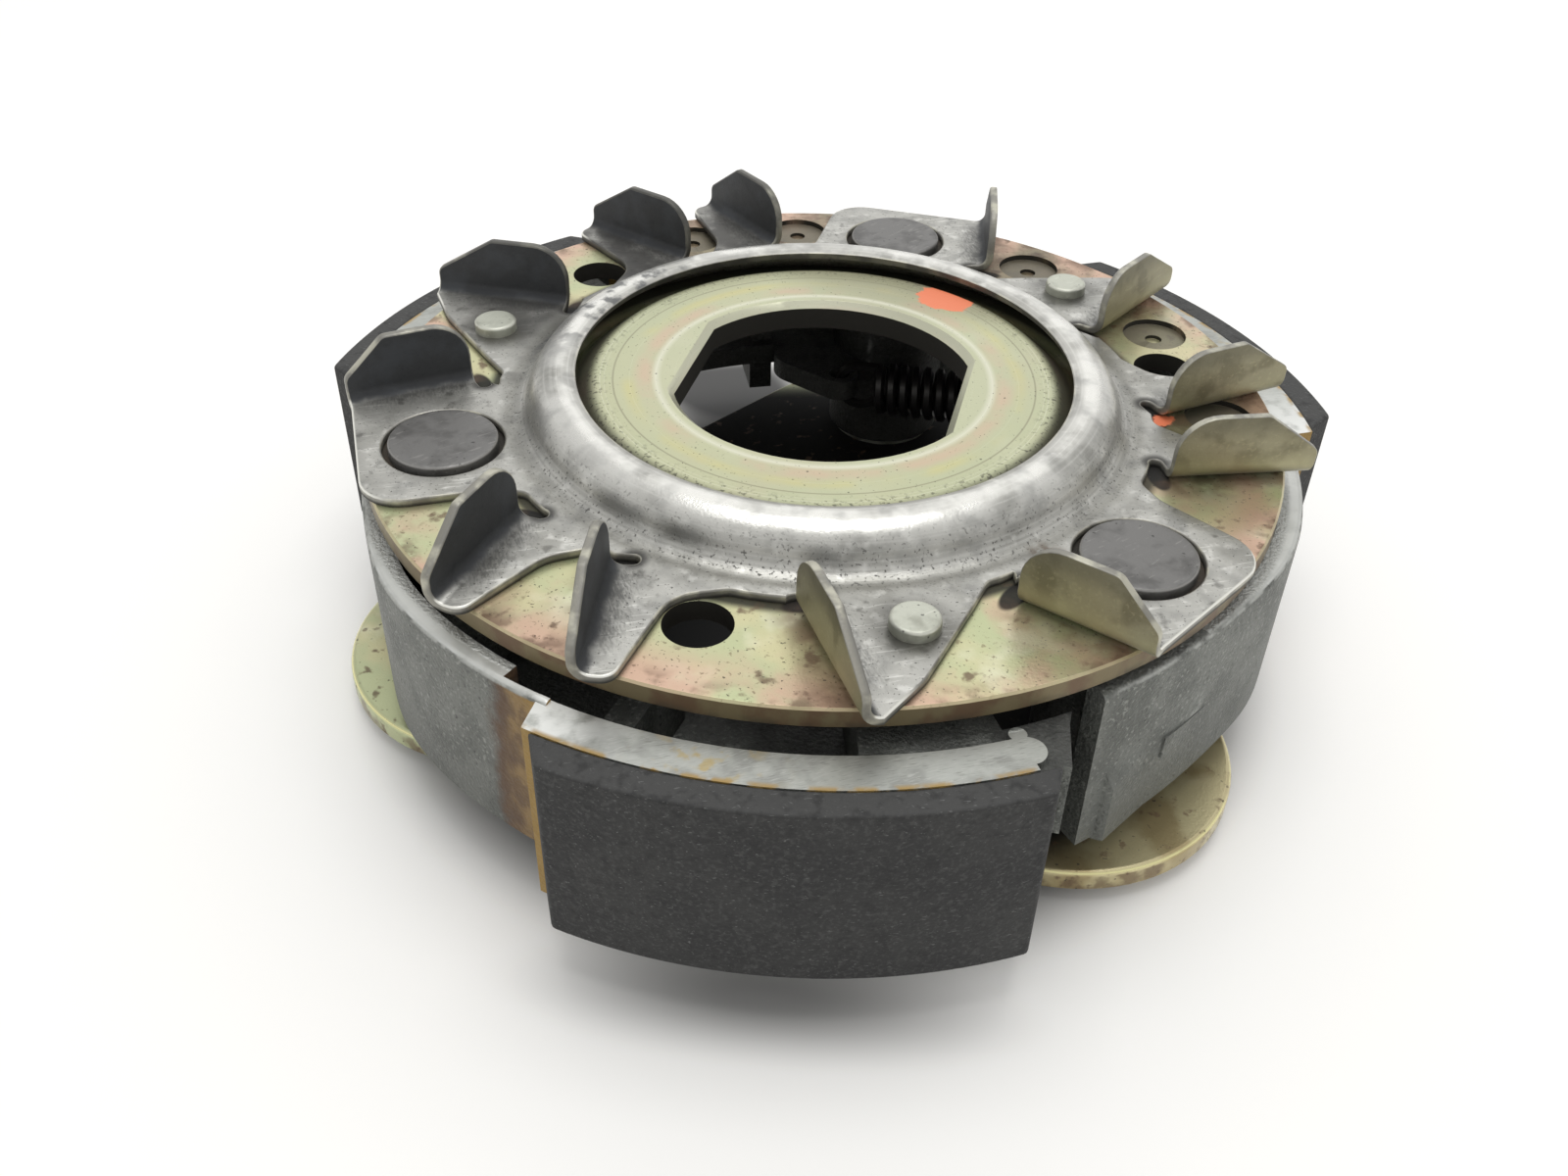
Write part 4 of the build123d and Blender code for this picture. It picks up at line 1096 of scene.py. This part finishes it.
@dataclass(frozen=True)
class CastAluminium:
    """Die-cast aluminium, left as it came from the die: a matt grey skin with a fine grain, bright where
    it was machined or knocked and brown where the lining's glue has run."""

    skin: str = "787a75"
    dark: str = "5a5c58"
    pale_grain: str = "a3a59e"
    dark_grain: str = "4d4e4b"
    bright: str = "c2c3be"
    dust: str = "2f2e2b"
    milled: str = "b3b5af"
    milled_cloud: str = "8f908b"
    tool_mark: str = "76766f"
    fresh_cut: str = "eeefeb"
    glue: str = "a98a4a"
    glue_smear: str = "b59d5c"
    glue_strip: str = "94784a"
    strip_stain: str = "6d563c"
    scorched: str = "5a4432"
    nose_shade: str = "373735"

    def skin_layers(self, paint: Painter) -> None:
        """The die's skin: cloudy, grained, dusty, darker low down, and darker towards the axis as painted shade.

        Args:
            paint: The painter of the material.
        """
        paint.ground(self.skin, 0.45, 0.52)
        paint.layer(self.dark, paint.blotches(7.0, 0.42, 0.66, 0.7))
        paint.layer(self.pale_grain, paint.blotches(0.6, 0.56, 0.68, 0.6, 4.0, shift=3.0))
        paint.layer(self.dark_grain, paint.blotches(0.6, 0.57, 0.68, 0.6, 4.0, shift=31.0))
        paint.layer(self.dark, paint.window(paint.height, -14.0, -30.0, 0.5))
        paint.layer(self.dust, paint.blotches(0.8, 0.66, 0.74, 0.7, 3.0, shift=6.0))
        # Painted shade towards the axis, inside the hub.
        paint.layer(self.dust, paint.window(paint.radius, 60.0, 50.0, 0.7))

    def machined_land(self, paint: Painter, angle: Socket) -> Socket:
        """The milled land over the lining, with its tool marks and smears of glue.

        Args:
            paint: The material's painter.
            angle: Angle from the pivot pin in degrees.

        Returns:
            The land's mask.
        """
        radius, height, up = paint.radius, paint.height, paint.up
        land = paint.all_of(
            paint.window(height, -4.95, -4.7), paint.window(radius, 67.0, 68.0), paint.window(up, 0.6, 0.9)
        )
        paint.layer(self.milled, land, 0.95, metal=0.7, rough=0.40)
        paint.layer(self.milled_cloud, land, paint.blotches(6.0, 0.46, 0.62, 0.7, shift=14.0))
        paint.layer(self.tool_mark, land, paint.blotches(0.16, 0.54, 0.70, 0.5, 3.0, stretch=10.0, turn=25.0))
        cuts = paint.blotches(0.18, 0.54, 0.70, 0.55, 3.0, stretch=8.0, turn=38.0, shift=3.0)
        paint.layer(self.bright, land, cuts)
        fresh = (paint.window(angle, 58.0, 46.0), paint.blotches(3.0, 0.24, 0.56, 0.9, shift=4.0))
        paint.layer(self.fresh_cut, land, *fresh, metal=0.4)
        smears = paint.blotches(2.4, 0.52, 0.66, 0.7, 5.0, shift=12.0)
        paint.layer(self.glue_smear, land, paint.band(angle, 63.0, 9.0), smears)
        return land

    def material(self) -> bpy.types.Material:
        """The finished material."""
        material, paint = Painter.start("die-cast aluminium")
        radius, height, up = paint.radius, paint.height, paint.up
        angle = paint.angle(360.0 / SECTORS, FIRST_PIVOT)
        self.skin_layers(paint)
        land = self.machined_land(paint, angle)
        # Painted shadow on the top of each shoe's nose, under the drive plate.
        nose = (paint.window(height, -5.9, -5.5), paint.window(height, -4.8, -5.2), paint.window(up, 0.6, 0.9))
        paint.layer(self.nose_shade, *nose, paint.window(angle, 88.0, 90.0), 0.92, metal=0.2, rough=0.7)
        seam = (paint.band(radius, 73.9, 0.8), paint.window(height, -5.2, -4.8))
        paint.layer(self.glue, *seam, paint.blotches(3.0, 0.44, 0.58, 0.95, shift=8.0), metal=0.0, rough=0.5)
        top = (paint.window(height, -5.2, -4.7), paint.window(up, 0.7, 0.95), paint.window(angle, 45.0, 42.0))
        paint.layer(self.bright, *top, 0.75, metal=0.7, rough=0.4)
        wall = paint.window(up, 0.5, 0.2)
        wave = paint.math("ADD", angle, paint.blotches(6.0, 0.2, 0.8, 2.6, shift=21.0))
        strip = paint.all_of(wall, paint.window(wave, 40.6, 41.6), paint.window(angle, 47.6, 47.0))
        paint.layer(self.glue_strip, strip, 0.9, metal=0.0, rough=0.6)
        paint.layer(self.strip_stain, strip, paint.blotches(3.0, 0.42, 0.60, 0.85, shift=2.0))
        paint.layer(self.glue, strip, paint.window(wave, 44.0, 46.5, 0.8))
        paint.layer(self.scorched, wall, paint.band(wave, 41.3, 2.2), 0.9, metal=0.0, rough=0.6)
        knocked = (paint.band(up, 0.62, 0.45), paint.blotches(3.0, 0.36, 0.56, 0.75, shift=5.0))
        paint.layer(self.bright, *knocked, metal=0.7, rough=0.38)
        grain = paint.all_of(paint.blotches(0.55, 0.25, 0.75, 1.0, 6.0), paint.window(land, 0.9, 0.1))
        paint.finish(paint.bump(grain, 0.12))
        return material


@dataclass(frozen=True)
class FrictionLining:
    """Moulded friction material: a charcoal resin with short pale fibres and dark grit, ground on its face."""

    resin: str = "292929"
    face: str = "343433"
    fibre: str = "8a8b89"
    top: str = "4c4c4b"
    pale_grit: str = "454544"
    dark_grit: str = "1c1c1c"

    def material(self) -> bpy.types.Material:
        """The finished material. Its fibres are drawn 0.3 mm wide, as wide as they need to be to show."""
        material, paint = Painter.start("moulded friction lining")
        paint.ground(self.resin, 0.0, 0.74)
        paint.layer(self.face, paint.blotches(10.0, 0.40, 0.64, 0.8))
        # Painted light: faces that look up are lighter.
        paint.layer(self.top, paint.window(paint.up, 0.2, 0.9, 0.6))
        paint.layer(self.pale_grit, paint.blotches(0.6, 0.50, 0.66, 0.7, 6.0, shift=7.0))
        paint.layer(self.dark_grit, paint.blotches(1.6, 0.50, 0.70, 0.6, 7.0, shift=4.0))
        paint.layer(self.fibre, paint.blotches(0.26, 0.65, 0.75, 0.42, 2.0, stretch=4.0, turn=25.0, shift=2.0))
        paint.layer(self.fibre, paint.blotches(0.26, 0.67, 0.76, 0.36, 2.0, stretch=4.0, turn=-30.0, shift=9.0))
        paint.finish(paint.bump(paint.blotches(0.45, 0.25, 0.75, 1.0, 5.0), 0.05))
        return material


@dataclass(frozen=True)
class TurnedSteel:
    """Turned and hardened steel with a dark skin: satin, a little worn where it stands proud."""

    skin: str = "777674"
    shade: str = "585755"
    worn: str = "a3a19d"
    name: str = "hardened steel"
    grime: str = "2b2a28"

    def material(self) -> bpy.types.Material:
        """The finished material."""
        material, paint = Painter.start(self.name)
        paint.ground(self.skin, 0.6, 0.48)
        paint.layer(self.shade, paint.blotches(4.0, 0.44, 0.66, 0.8))
        paint.layer(self.worn, paint.blotches(0.5, 0.60, 0.70, 0.35, 4.0, stretch=5.0, turn=50.0, shift=2.0))
        paint.layer(self.worn, paint.band(paint.up, 0.6, 0.45), 0.7, rough=0.35)
        paint.layer(self.grime, paint.blotches(0.8, 0.66, 0.74, 0.7, 3.0, shift=6.0))
        paint.finish(paint.bump(paint.blotches(0.5, 0.25, 0.75, 1.0, 4.0), 0.015))
        return material


@dataclass(frozen=True)
class MouldedRubber:
    """Black moulded rubber, dulled by dust."""

    black: str = "1d1d1d"
    dust: str = "35332f"

    def material(self) -> bpy.types.Material:
        """The finished material."""
        material, paint = Painter.start("moulded rubber")
        paint.ground(self.black, 0.0, 0.72)
        paint.layer(self.dust, paint.blotches(2.5, 0.5, 0.7, 0.6))
        paint.finish()
        return material


# Pieces


Corner = tuple[Point, float]


@dataclass
class FanPlate:
    """The cooling fan: one sheet with a dome round its hole and four fins folded up in each sector.

    The sheet is drawn as the flat blank that the press cuts out, with each fin lying flat beyond its fold.
    The fins are then folded up, so a bend, its relief slot and every cut edge belong to one sheet.
    """

    sheet: float = 1.2
    hole: float = 35.7
    crest_radius: float = 37.7
    crest_height: float = 6.8
    crest_bend: float = 5.0
    foot: float = 45.5
    root: float = 47.8
    bend: float = 1.6
    bend_steps: int = 8
    fin_height: float = 10.3
    fin_start: float = 1.0
    shoulder: float = 13.2
    tip: float = 4.6
    fin_round: float = 5.5
    shoulder_round: float = 1.5
    tip_round: float = 1.6
    relief: float = 0.9
    relief_reach: float = 3.7
    blade_tip: float = 2.4
    corner_round: float = 2.2
    slot_tip: float = 3.6
    head_hole: float = 8.4
    rivet_hole: float = 2.5
    rivet_steps: int = 32
    dome_steps: int = 256
    smooth: float = 40.0

    @property
    def depth(self) -> float:
        """Distance from a fin's outer face to where the sheet is flat again."""
        return self.bend + self.sheet

    @property
    def bend_length(self) -> float:
        """Length of the bend, measured along the middle of the sheet."""
        return 0.5 * math.pi * (self.bend + 0.5 * self.sheet)

    def laid_flat(self, height: float) -> float:
        """Where a height on a standing fin lies across the blank: the bend's length and then the blade's."""
        return 2.0 * self.depth - self.bend_length - height

    def ring(self, *angles: float) -> list[Corner]:
        """Points of the ring round the dome's foot, with the first one rounded into it."""
        return [(polar(self.root, angle), 0.0 if index else self.corner_round) for index, angle in enumerate(angles)]

    def slot(self, fold: Fold, start: Sequence[Point]) -> list[Corner]:
        """The relief slot: from where the outline meets it, along its inner side and round its far end."""
        end = arc((0.0, self.relief_reach), self.relief, 180.0, 0.0, 10)
        return [(fold.place(x, y), 0.0) for x, y in [*start, *end]]

    def flat_fin(self, fold: Fold) -> list[Corner]:
        """A fin in the blank: out over the bend, round the blade and back over the bend.

        Args:
            fold: The fin's fold.

        Returns:
            Its corners, counter-clockwise.
        """
        run = fold.run()
        rows = [self.depth - self.bend_length * step / self.bend_steps for step in range(self.bend_steps + 1)]
        top = self.laid_flat(self.fin_height)
        out = [(fold.place(self.fin_start, row), 0.0) for row in rows]
        blade = [
            (fold.place(self.fin_start, top), self.fin_round),
            (fold.place(self.shoulder, top), self.shoulder_round),
            (fold.place(run, self.laid_flat(self.tip)), self.tip_round),
        ]
        return out + blade + [(fold.place(run, row), 0.0) for row in rows[::-1]]

    def blank(self) -> tuple[np.ndarray, np.ndarray, list[Fold]]:
        """The blank's outline.

        Returns:
            Rows of x and y counter-clockwise, the number of each point's fin or -1 where it has none, and
            the folds by number.
        """
        pin, front, middle, rivet = FINS
        low_side = [(x, y) for x, y in arc((0.0, 0.0), self.relief, 221.0, 180.0, 4)]
        corner = self.depth + self.blade_tip
        sector: list[tuple[list[Corner], Fold | None]] = [
            (self.ring(-17.0) + self.slot(pin, []), None),
            (self.flat_fin(pin), pin),
            ([(polar(67.8, 10.9), 6.0), (polar(51.3, 14.7), 6.0)] + self.ring(17.7, 20.0, 22.0), None),
            (self.slot(front, [(-self.relief, self.slot_tip)]), None),
            (self.flat_fin(front), front),
            ([(front.place(front.run(), corner), self.corner_round), (polar(53.7, 33.1), 7.0)]
             + self.ring(37.1, 38.6), None),
            (self.slot(middle, [(-self.relief, 1.2)]), None),
            (self.flat_fin(middle), middle),
            ([(middle.place(middle.run(), corner), self.corner_round), (polar(51.3, 52.3), 6.0)]
             + self.ring(59.35, 61.5, 63.6, 65.7), None),
            (self.slot(rivet, low_side), None),
            (self.flat_fin(rivet), rivet),
            ([(polar(62.8, 84.0), 12.0), (polar(51.3, 94.2), 6.0)] + self.ring(98.53, 100.8), None),
        ]
        corners = [part for parts, _ in sector for part in parts]
        owners = [fold for parts, fold in sector for _ in parts]
        runs = rounded_runs(corners)
        loop = np.concatenate(runs)
        number = np.concatenate([
            np.full(len(run), -1 if owner is None else FINS.index(owner)) for run, owner in zip(runs, owners)
        ])
        loops, numbers, folds = [], [], []
        for index, angle in enumerate(sector_angles()):
            loops.append(turned(loop, angle))
            numbers.append(np.where(number < 0, -1, number + index * len(FINS)))
            folds.extend(fold.turned(angle) for fold in FINS)
        return np.concatenate(loops), np.concatenate(numbers), folds

    def past_bend(self, flat: np.ndarray, number: np.ndarray, folds: Sequence[Fold]) -> np.ndarray:
        """How far points of the blank lie beyond the start of their bends.

        Args:
            flat: Rows of x and y in the blank.
            number: Each point's fin, or -1.
            folds: The folds by number.

        Returns:
            A distance in millimetres for each point, or 0.
        """
        past = np.zeros(len(flat))
        for index, fold in enumerate(folds):
            own = number == index
            _, sideways = fold.directions()
            past[own] = self.depth - (flat[own] - np.array(fold.root)) @ sideways
        return np.maximum(past, 0.0)

    def folded(self, flat: np.ndarray, height: float, number: np.ndarray, folds: Sequence[Fold]) -> np.ndarray:
        """Blank points carried to the folded sheet.

        A point on the flat sheet keeps its place. A point beyond the start of a bend goes round a quarter
        circle, by the angle that its distance makes with the bend's middle radius, on a radius that is
        smaller the higher it lies in the sheet. A point beyond the bend stands upright over it.

        Args:
            flat: Rows of x and y in the blank.
            height: Height in the sheet, from 0 at its under face.
            number: Each point's fin, or -1.
            folds: The folds by number.

        Returns:
            Rows of x, y and z.
        """
        out = np.column_stack([flat, np.full(len(flat), height)])
        past = self.past_bend(flat, number, folds)
        for index, fold in enumerate(folds):
            own = (number == index) & (past > 0.0)
            forward, sideways = fold.directions()
            along = (flat[own] - np.array(fold.root)) @ forward
            angle = np.minimum(past[own] / self.bend_length, 1.0) * 0.5 * np.pi
            beyond = np.maximum(past[own] - self.bend_length, 0.0)
            radius = self.depth - height
            across = self.depth - radius * np.sin(angle)
            out[own, :2] = np.array(fold.root) + along[:, None] * forward + across[:, None] * sideways
            out[own, 2] = self.depth - radius * np.cos(angle) + beyond
        return out

    def sheet_shell(self) -> Shell:
        """The folded sheet without its dome.

        Returns:
            A shell that is open only at the dome's foot. Its marks are "inside", full on the inner face of
            a standing fin, "outside", full on its outer face, and "edge", full on the cut edges.
        """
        loop, number, folds = self.blank()
        edge = SheetEdge()
        steps = edge.profile(self.sheet, 0.0)
        normal = outward(loop)
        flats = [loop - normal * inset for inset, _ in steps]
        rings = np.stack([self.folded(flat, z, number, folds) for flat, (_, z) in zip(flats, steps)])
        share = np.clip(self.past_bend(flats[0], number, folds) / self.bend_length, 0.0, 1.0)
        upper = (np.arange(len(steps)) < len(steps) // 2)[:, None]
        on_edge = np.array([0.0] + [1.0] * (len(steps) - 2) + [0.0])[:, None]
        rim = grid_shell(
            rings[::-1], wrap_columns=True, edge=on_edge[::-1],
            inside=(share[None, :] * upper)[::-1], outside=(share[None, :] * ~upper)[::-1],
        )
        shells = [rim]
        foot = circle((0.0, 0.0), self.foot, self.dome_steps)
        holes = [circle(polar(PIVOT_RADIUS, angle), self.head_hole) for angle in sector_angles()]
        rivets = [polar(DAMPER_CIRCLE, angle + DAMPER_ANGLE) for angle in sector_angles()]
        holes += [circle(rivet, self.rivet_hole, self.rivet_steps) for rivet in rivets]
        hole_rings = []
        for hole in holes:
            normal = outward(hole)
            ring = np.stack([np.column_stack([hole + normal * inset, np.full(len(hole), z)]) for inset, z in steps])
            hole_rings.append(ring)
            shells.append(grid_shell(ring, wrap_columns=True, edge=on_edge))

        fins = [np.flatnonzero(number == index) for index in range(len(folds))]
        stays = number < 0
        for fin in fins:
            stays[fin[0]] = stays[fin[-1]] = True
        for face, mark in ((0, "inside"), (len(steps) - 1, "outside")):
            flat, ring, up = flats[face], rings[face], face == 0
            inner = [part[face, :, :2] for part in hole_rings]
            faces = filled([flat[stays], *inner, foot], up)
            points = [ring[stays], *(part[face] for part in hole_rings)]
            points.append(np.column_stack([foot, np.full(len(foot), steps[face][1])]))
            shells.append(Shell(np.concatenate(points), faces))
            for fin in fins:
                rows = self.bend_steps + 1
                bend = np.stack([ring[fin[:rows]], ring[fin[::-1][:rows]]], 1)
                rise = np.linspace(0.0, 1.0, rows)[:, None]
                shells.append(grid_shell(bend if up else bend[::-1], **{mark: rise if up else rise[::-1]}))
                blade = fin[rows - 1:len(fin) - rows + 1]
                shells.append(Shell(ring[blade], filled([flat[blade]], up), {mark: np.ones(len(blade))}))
        return joined(shells)

    def dome(self) -> Shell:
        """The dome: two arcs that meet where their slopes are the same, offset by the sheet's thickness."""
        rise, run = self.crest_height - self.sheet, self.foot - self.crest_radius
        foot_bend = (run**2 + rise**2) / (2.0 * rise) - self.crest_bend
        crest = (self.crest_radius, self.crest_height - self.crest_bend)
        foot = (self.foot, self.sheet + foot_bend)
        slope = math.degrees(math.atan2(foot[1] - crest[1], run))
        lip = math.degrees(math.acos((self.hole - self.crest_radius) / self.crest_bend))
        top = np.concatenate([
            arc(crest, self.crest_bend, lip, slope, 24),
            arc(foot, foot_bend, 180.0 + slope, 270.0, 14)[1:],
        ])
        under = np.concatenate([
            arc(foot, foot_bend + self.sheet, 270.0, 180.0 + slope, 8),
            arc(crest, self.crest_bend - self.sheet, slope, lip, 12)[1:],
        ])
        middle = 0.5 * (top[0] + under[-1])
        nose = np.array([under[-1] + 0.15 * (top[0] - under[-1]), middle + (top[0] - middle) * 0.7])
        profile = np.concatenate([under, nose, top])
        edge = np.zeros(len(profile))
        edge[len(under) - 1:len(under) + len(nose) + 1] = 1.0
        return revolved(profile, self.dome_steps, edge=edge)

    def build(self, material: bpy.types.Material) -> None:
        """Builds the whole fan plate.

        Args:
            material: The bare steel.
        """
        shell = joined([self.sheet_shell(), self.dome()])
        piece = placed("fan_sheet", shell, material, Body.CARRIER, self.smooth)
        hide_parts("fan_plate")


@dataclass
class PivotPins:
    """The three pivot pins, each turned from one bar, with a wide head over the fan's clearance hole."""

    head_radius: float = 7.55
    head_top: float = 1.9
    head_round: float = 0.45
    head_hollow: tuple[Point, ...] = ((0.0, 0.12), (3.5, 0.08), (6.2, 0.02))
    shaft: float = 6.0
    spigot: float = 5.0
    groove: float = 4.0
    plate_top: float = -35.6
    plate_under: float = -38.6
    groove_end: float = -39.8
    end: float = -41.0
    end_break: float = 0.5
    steps: int = 96

    def shell(self) -> Shell:
        """A pin: its profile goes over the slightly hollow head, down the shaft and over the clip's groove."""
        rim = arc((self.head_radius - self.head_round, self.head_top - self.head_round), self.head_round, 90.0, 0.0, 6)
        face = [(radius, self.head_top - depth) for radius, depth in self.head_hollow]
        shaft = [
            (self.head_radius, 0.0), (self.shaft, 0.0), (self.shaft, self.plate_top), (self.spigot, self.plate_top),
            (self.spigot, self.plate_under), (self.groove, self.plate_under), (self.groove, self.groove_end),
            (self.spigot, self.groove_end), (self.spigot, self.end + self.end_break),
            (self.spigot - self.end_break, self.end), (0.0, self.end),
        ]
        return revolved(np.concatenate([face, rim, shaft]), self.steps)

    def build(self, material: bpy.types.Material) -> None:
        """Builds the three pins.

        Args:
            material: The hardened steel.
        """
        for index, angle in enumerate(sector_angles()):
            shell = self.shell().moved(*polar(PIVOT_RADIUS, angle))
            piece = placed(f"pin_{index + 1}", shell, material, Body.CARRIER, SHARP_ANGLE)
            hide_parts(f"pivot_pin_{index + 1}")


@dataclass
class Castings:
    """The pieces that keep the model's form, with their sharp edges broken."""

    shoe_edge: float = 0.55
    lining_edge: float = 0.5
    plate_edge: float = 0.22

    def build(self, cast: bpy.types.Material, lining: bpy.types.Material) -> None:
        """Builds the shoes and their linings.

        Args:
            cast: The shoes' material.
            lining: The linings' material.
        """
        for index, body in enumerate(SHOE_BODIES):
            number = index + 1
            broken_copy(f"shoe_{number}", f"shoe_casting_{number}", cast, body, self.shoe_edge)
            broken_copy(f"lining_{number}", f"lining_block_{number}", lining, body, self.lining_edge)

    def build_plate(self, zinc: bpy.types.Material) -> None:
        """Builds the drive plate."""
        broken_copy("drive_plate", "plated_drive_plate", zinc, Body.CARRIER, self.plate_edge)


@dataclass
class Studio:
    """The camera, the lights and the floor."""

    camera_place: tuple[float, float, float] = (38.31, -181.52, 111.90)
    camera_right: tuple[float, float, float] = (0.968086, 0.249606, 0.022502)
    camera_up: tuple[float, float, float] = (-0.172273, 0.597557, 0.783102)
    lens: float = 33.55
    floor_height: float = -41.0
    floor_size: float = 3.0
    floor_colour: str = "f3f2ef"
    floor_rough: float = 0.6
    floor_glow: float = 0.16
    far_glow: float = 0.5
    shade_colour: str = "0b0b0b"
    daylight: float = 0.72

    def camera(self) -> None:
        """A camera at the photograph's place, looking down on the fan from the front."""
        right, up = np.array(self.camera_right), np.array(self.camera_up)
        matrix = Matrix.Identity(4)
        for column, axis in enumerate((right, up, np.cross(right, up), np.array(self.camera_place) * MM)):
            matrix.col[column][:3] = axis.tolist()
        data = bpy.data.cameras.new("camera")
        data.lens = self.lens
        data.sensor_width = 36.0
        data.clip_start, data.clip_end = 0.005, 20.0
        camera = linked("camera", data)
        camera.matrix_world = matrix
        bpy.context.scene.camera = camera

    def floor(self) -> None:
        """A plain pale floor under the pin ends. It is dark under the clutch, in a small zone behind it that
        the hub hole looks through to, and along the foot of the front lining. The camera sees the rest of it
        a little brighter than it lights the clutch, and more so far away."""
        size, height = self.floor_size, self.floor_height * MM
        data = bpy.data.meshes.new("floor")
        corners = [(-size, -size, height), (size, -size, height), (size, size, height), (-size, size, height)]
        data.from_pydata(corners, [], [(0, 1, 2, 3)])
        material, paint = Painter.start("pale floor")
        paint.ground(self.floor_colour, 0.0, self.floor_rough)
        paint.layer(self.shade_colour, paint.window(paint.radius, 76.0, 57.0))
        behind = paint.window(paint.near(-34.5, 66.5, wide=1.35, turn=150.0), 17.0, 9.0, 0.93)
        paint.layer(self.shade_colour, behind, paint.window(paint.radius, 89.0, 81.0))
        front = paint.near(*polar(75.0, 279.0), wide=3.4, turn=9.0)
        paint.layer(self.shade_colour, paint.window(front, 11.0, 1.0, 0.72))
        shader = add_node(paint.tree, "BsdfPrincipled", {"Base Color": paint.colour, "Roughness": self.floor_rough})
        glow = paint.math("ADD", paint.window(paint.radius, 400.0, 1600.0, self.far_glow), self.floor_glow)
        light = add_node(paint.tree, "Emission", {"Color": paint.colour, "Strength": glow})
        rays = add_node(paint.tree, "LightPath")
        seen = paint.math("MAXIMUM", rays.outputs["Is Camera Ray"], rays.outputs["Is Glossy Ray"])
        seen = paint.math("MAXIMUM", seen, rays.outputs["Is Transmission Ray"])
        nothing = add_node(paint.tree, "Emission", {"Strength": 0.0})
        shown = add_node(paint.tree, "MixShader", {0: seen, 1: nothing.outputs[0], 2: light.outputs[0]})
        both = add_node(paint.tree, "AddShader", {0: shader.outputs[0], 1: shown.outputs[0]})
        add_node(paint.tree, "OutputMaterial", {"Surface": both.outputs[0]})
        data.materials.append(material)
        floor = linked("floor", data)

    def lamp(self, name: str, place: tuple[float, float, float], size: float, power: float) -> None:
        """A square soft light that looks at the clutch.

        Args:
            name: The light's name.
            place: Its place in metres.
            size: Its side in metres.
            power: Its power in watts.
        """
        data = bpy.data.lights.new(name, "AREA")
        data.size = size
        data.energy = power
        lamp = linked(name, data)
        lamp.location = place
        lamp.rotation_mode = "QUATERNION"
        lamp.rotation_quaternion = (-lamp.location).to_track_quat("-Z", "Y")

    def world(self) -> None:
        """A white surround that lights softly from all sides and shows white to the camera."""
        world = bpy.data.worlds.new("surround")
        bpy.context.scene.world = world
        world.use_nodes = True
        tree = world.node_tree
        tree.nodes.clear()
        rays = add_node(tree, "LightPath")
        white = (1.0, 1.0, 1.0, 1.0)
        light = add_node(tree, "Background", {"Color": white, "Strength": self.daylight})
        seen = add_node(tree, "Background", {"Color": white, "Strength": 1.0})
        mix = add_node(tree, "MixShader", {0: rays.outputs["Is Camera Ray"], 1: light.outputs[0], 2: seen.outputs[0]})
        add_node(tree, "OutputWorld", {"Surface": mix.outputs[0]})

    def build(self) -> None:
        """Builds the whole studio."""
        self.camera()
        self.floor()
        self.world()
        self.lamp("overhead", (0.0, 0.05, 0.80), size=0.50, power=2.2)
        self.lamp("back window", (-0.15, 1.20, 0.85), size=1.40, power=3.0)


def main() -> None:
    """Builds the clutch and the studio."""
    logging.basicConfig(level=logging.INFO, format="%(message)s")
    bpy.context.scene.view_settings.view_transform = "Standard"
    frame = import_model()
    Studio().build()

    side_zinc = SidePlateZinc().material()
    rivet_steel = TurnedSteel("c2c4b7", "96978a", "e2e2d6", "plated rivet steel").material()
    # The springs and clips get a very dark steel: partly their own dark skin, partly painted shade inside the hub.
    spring_steel_and_shade = TurnedSteel("2f2e2d", "232221", "4c4a47", "spring steel").material()
    dressed = {
        "side_plate": side_zinc, "washer": rivet_steel, "damper_pin": rivet_steel, "clip": spring_steel_and_shade,
        "spring": spring_steel_and_shade, "damper_rubber": MouldedRubber().material(),
    }
    for name, node in frame["nodes"].items():
        for start, material in dressed.items():
            if name.startswith(start):
                for slot in node.material_slots:
                    slot.material = material
                log.info("%s: the model's form with %s", name, material.name)
    castings = Castings()
    castings.build(CastAluminium().material(), FrictionLining().material())
    castings.build_plate(DrivePlateZinc().material())
    PivotPins().build(TurnedSteel().material())
    FanPlate().build(FanSteel().material())


if __name__ == "__main__":
    main()
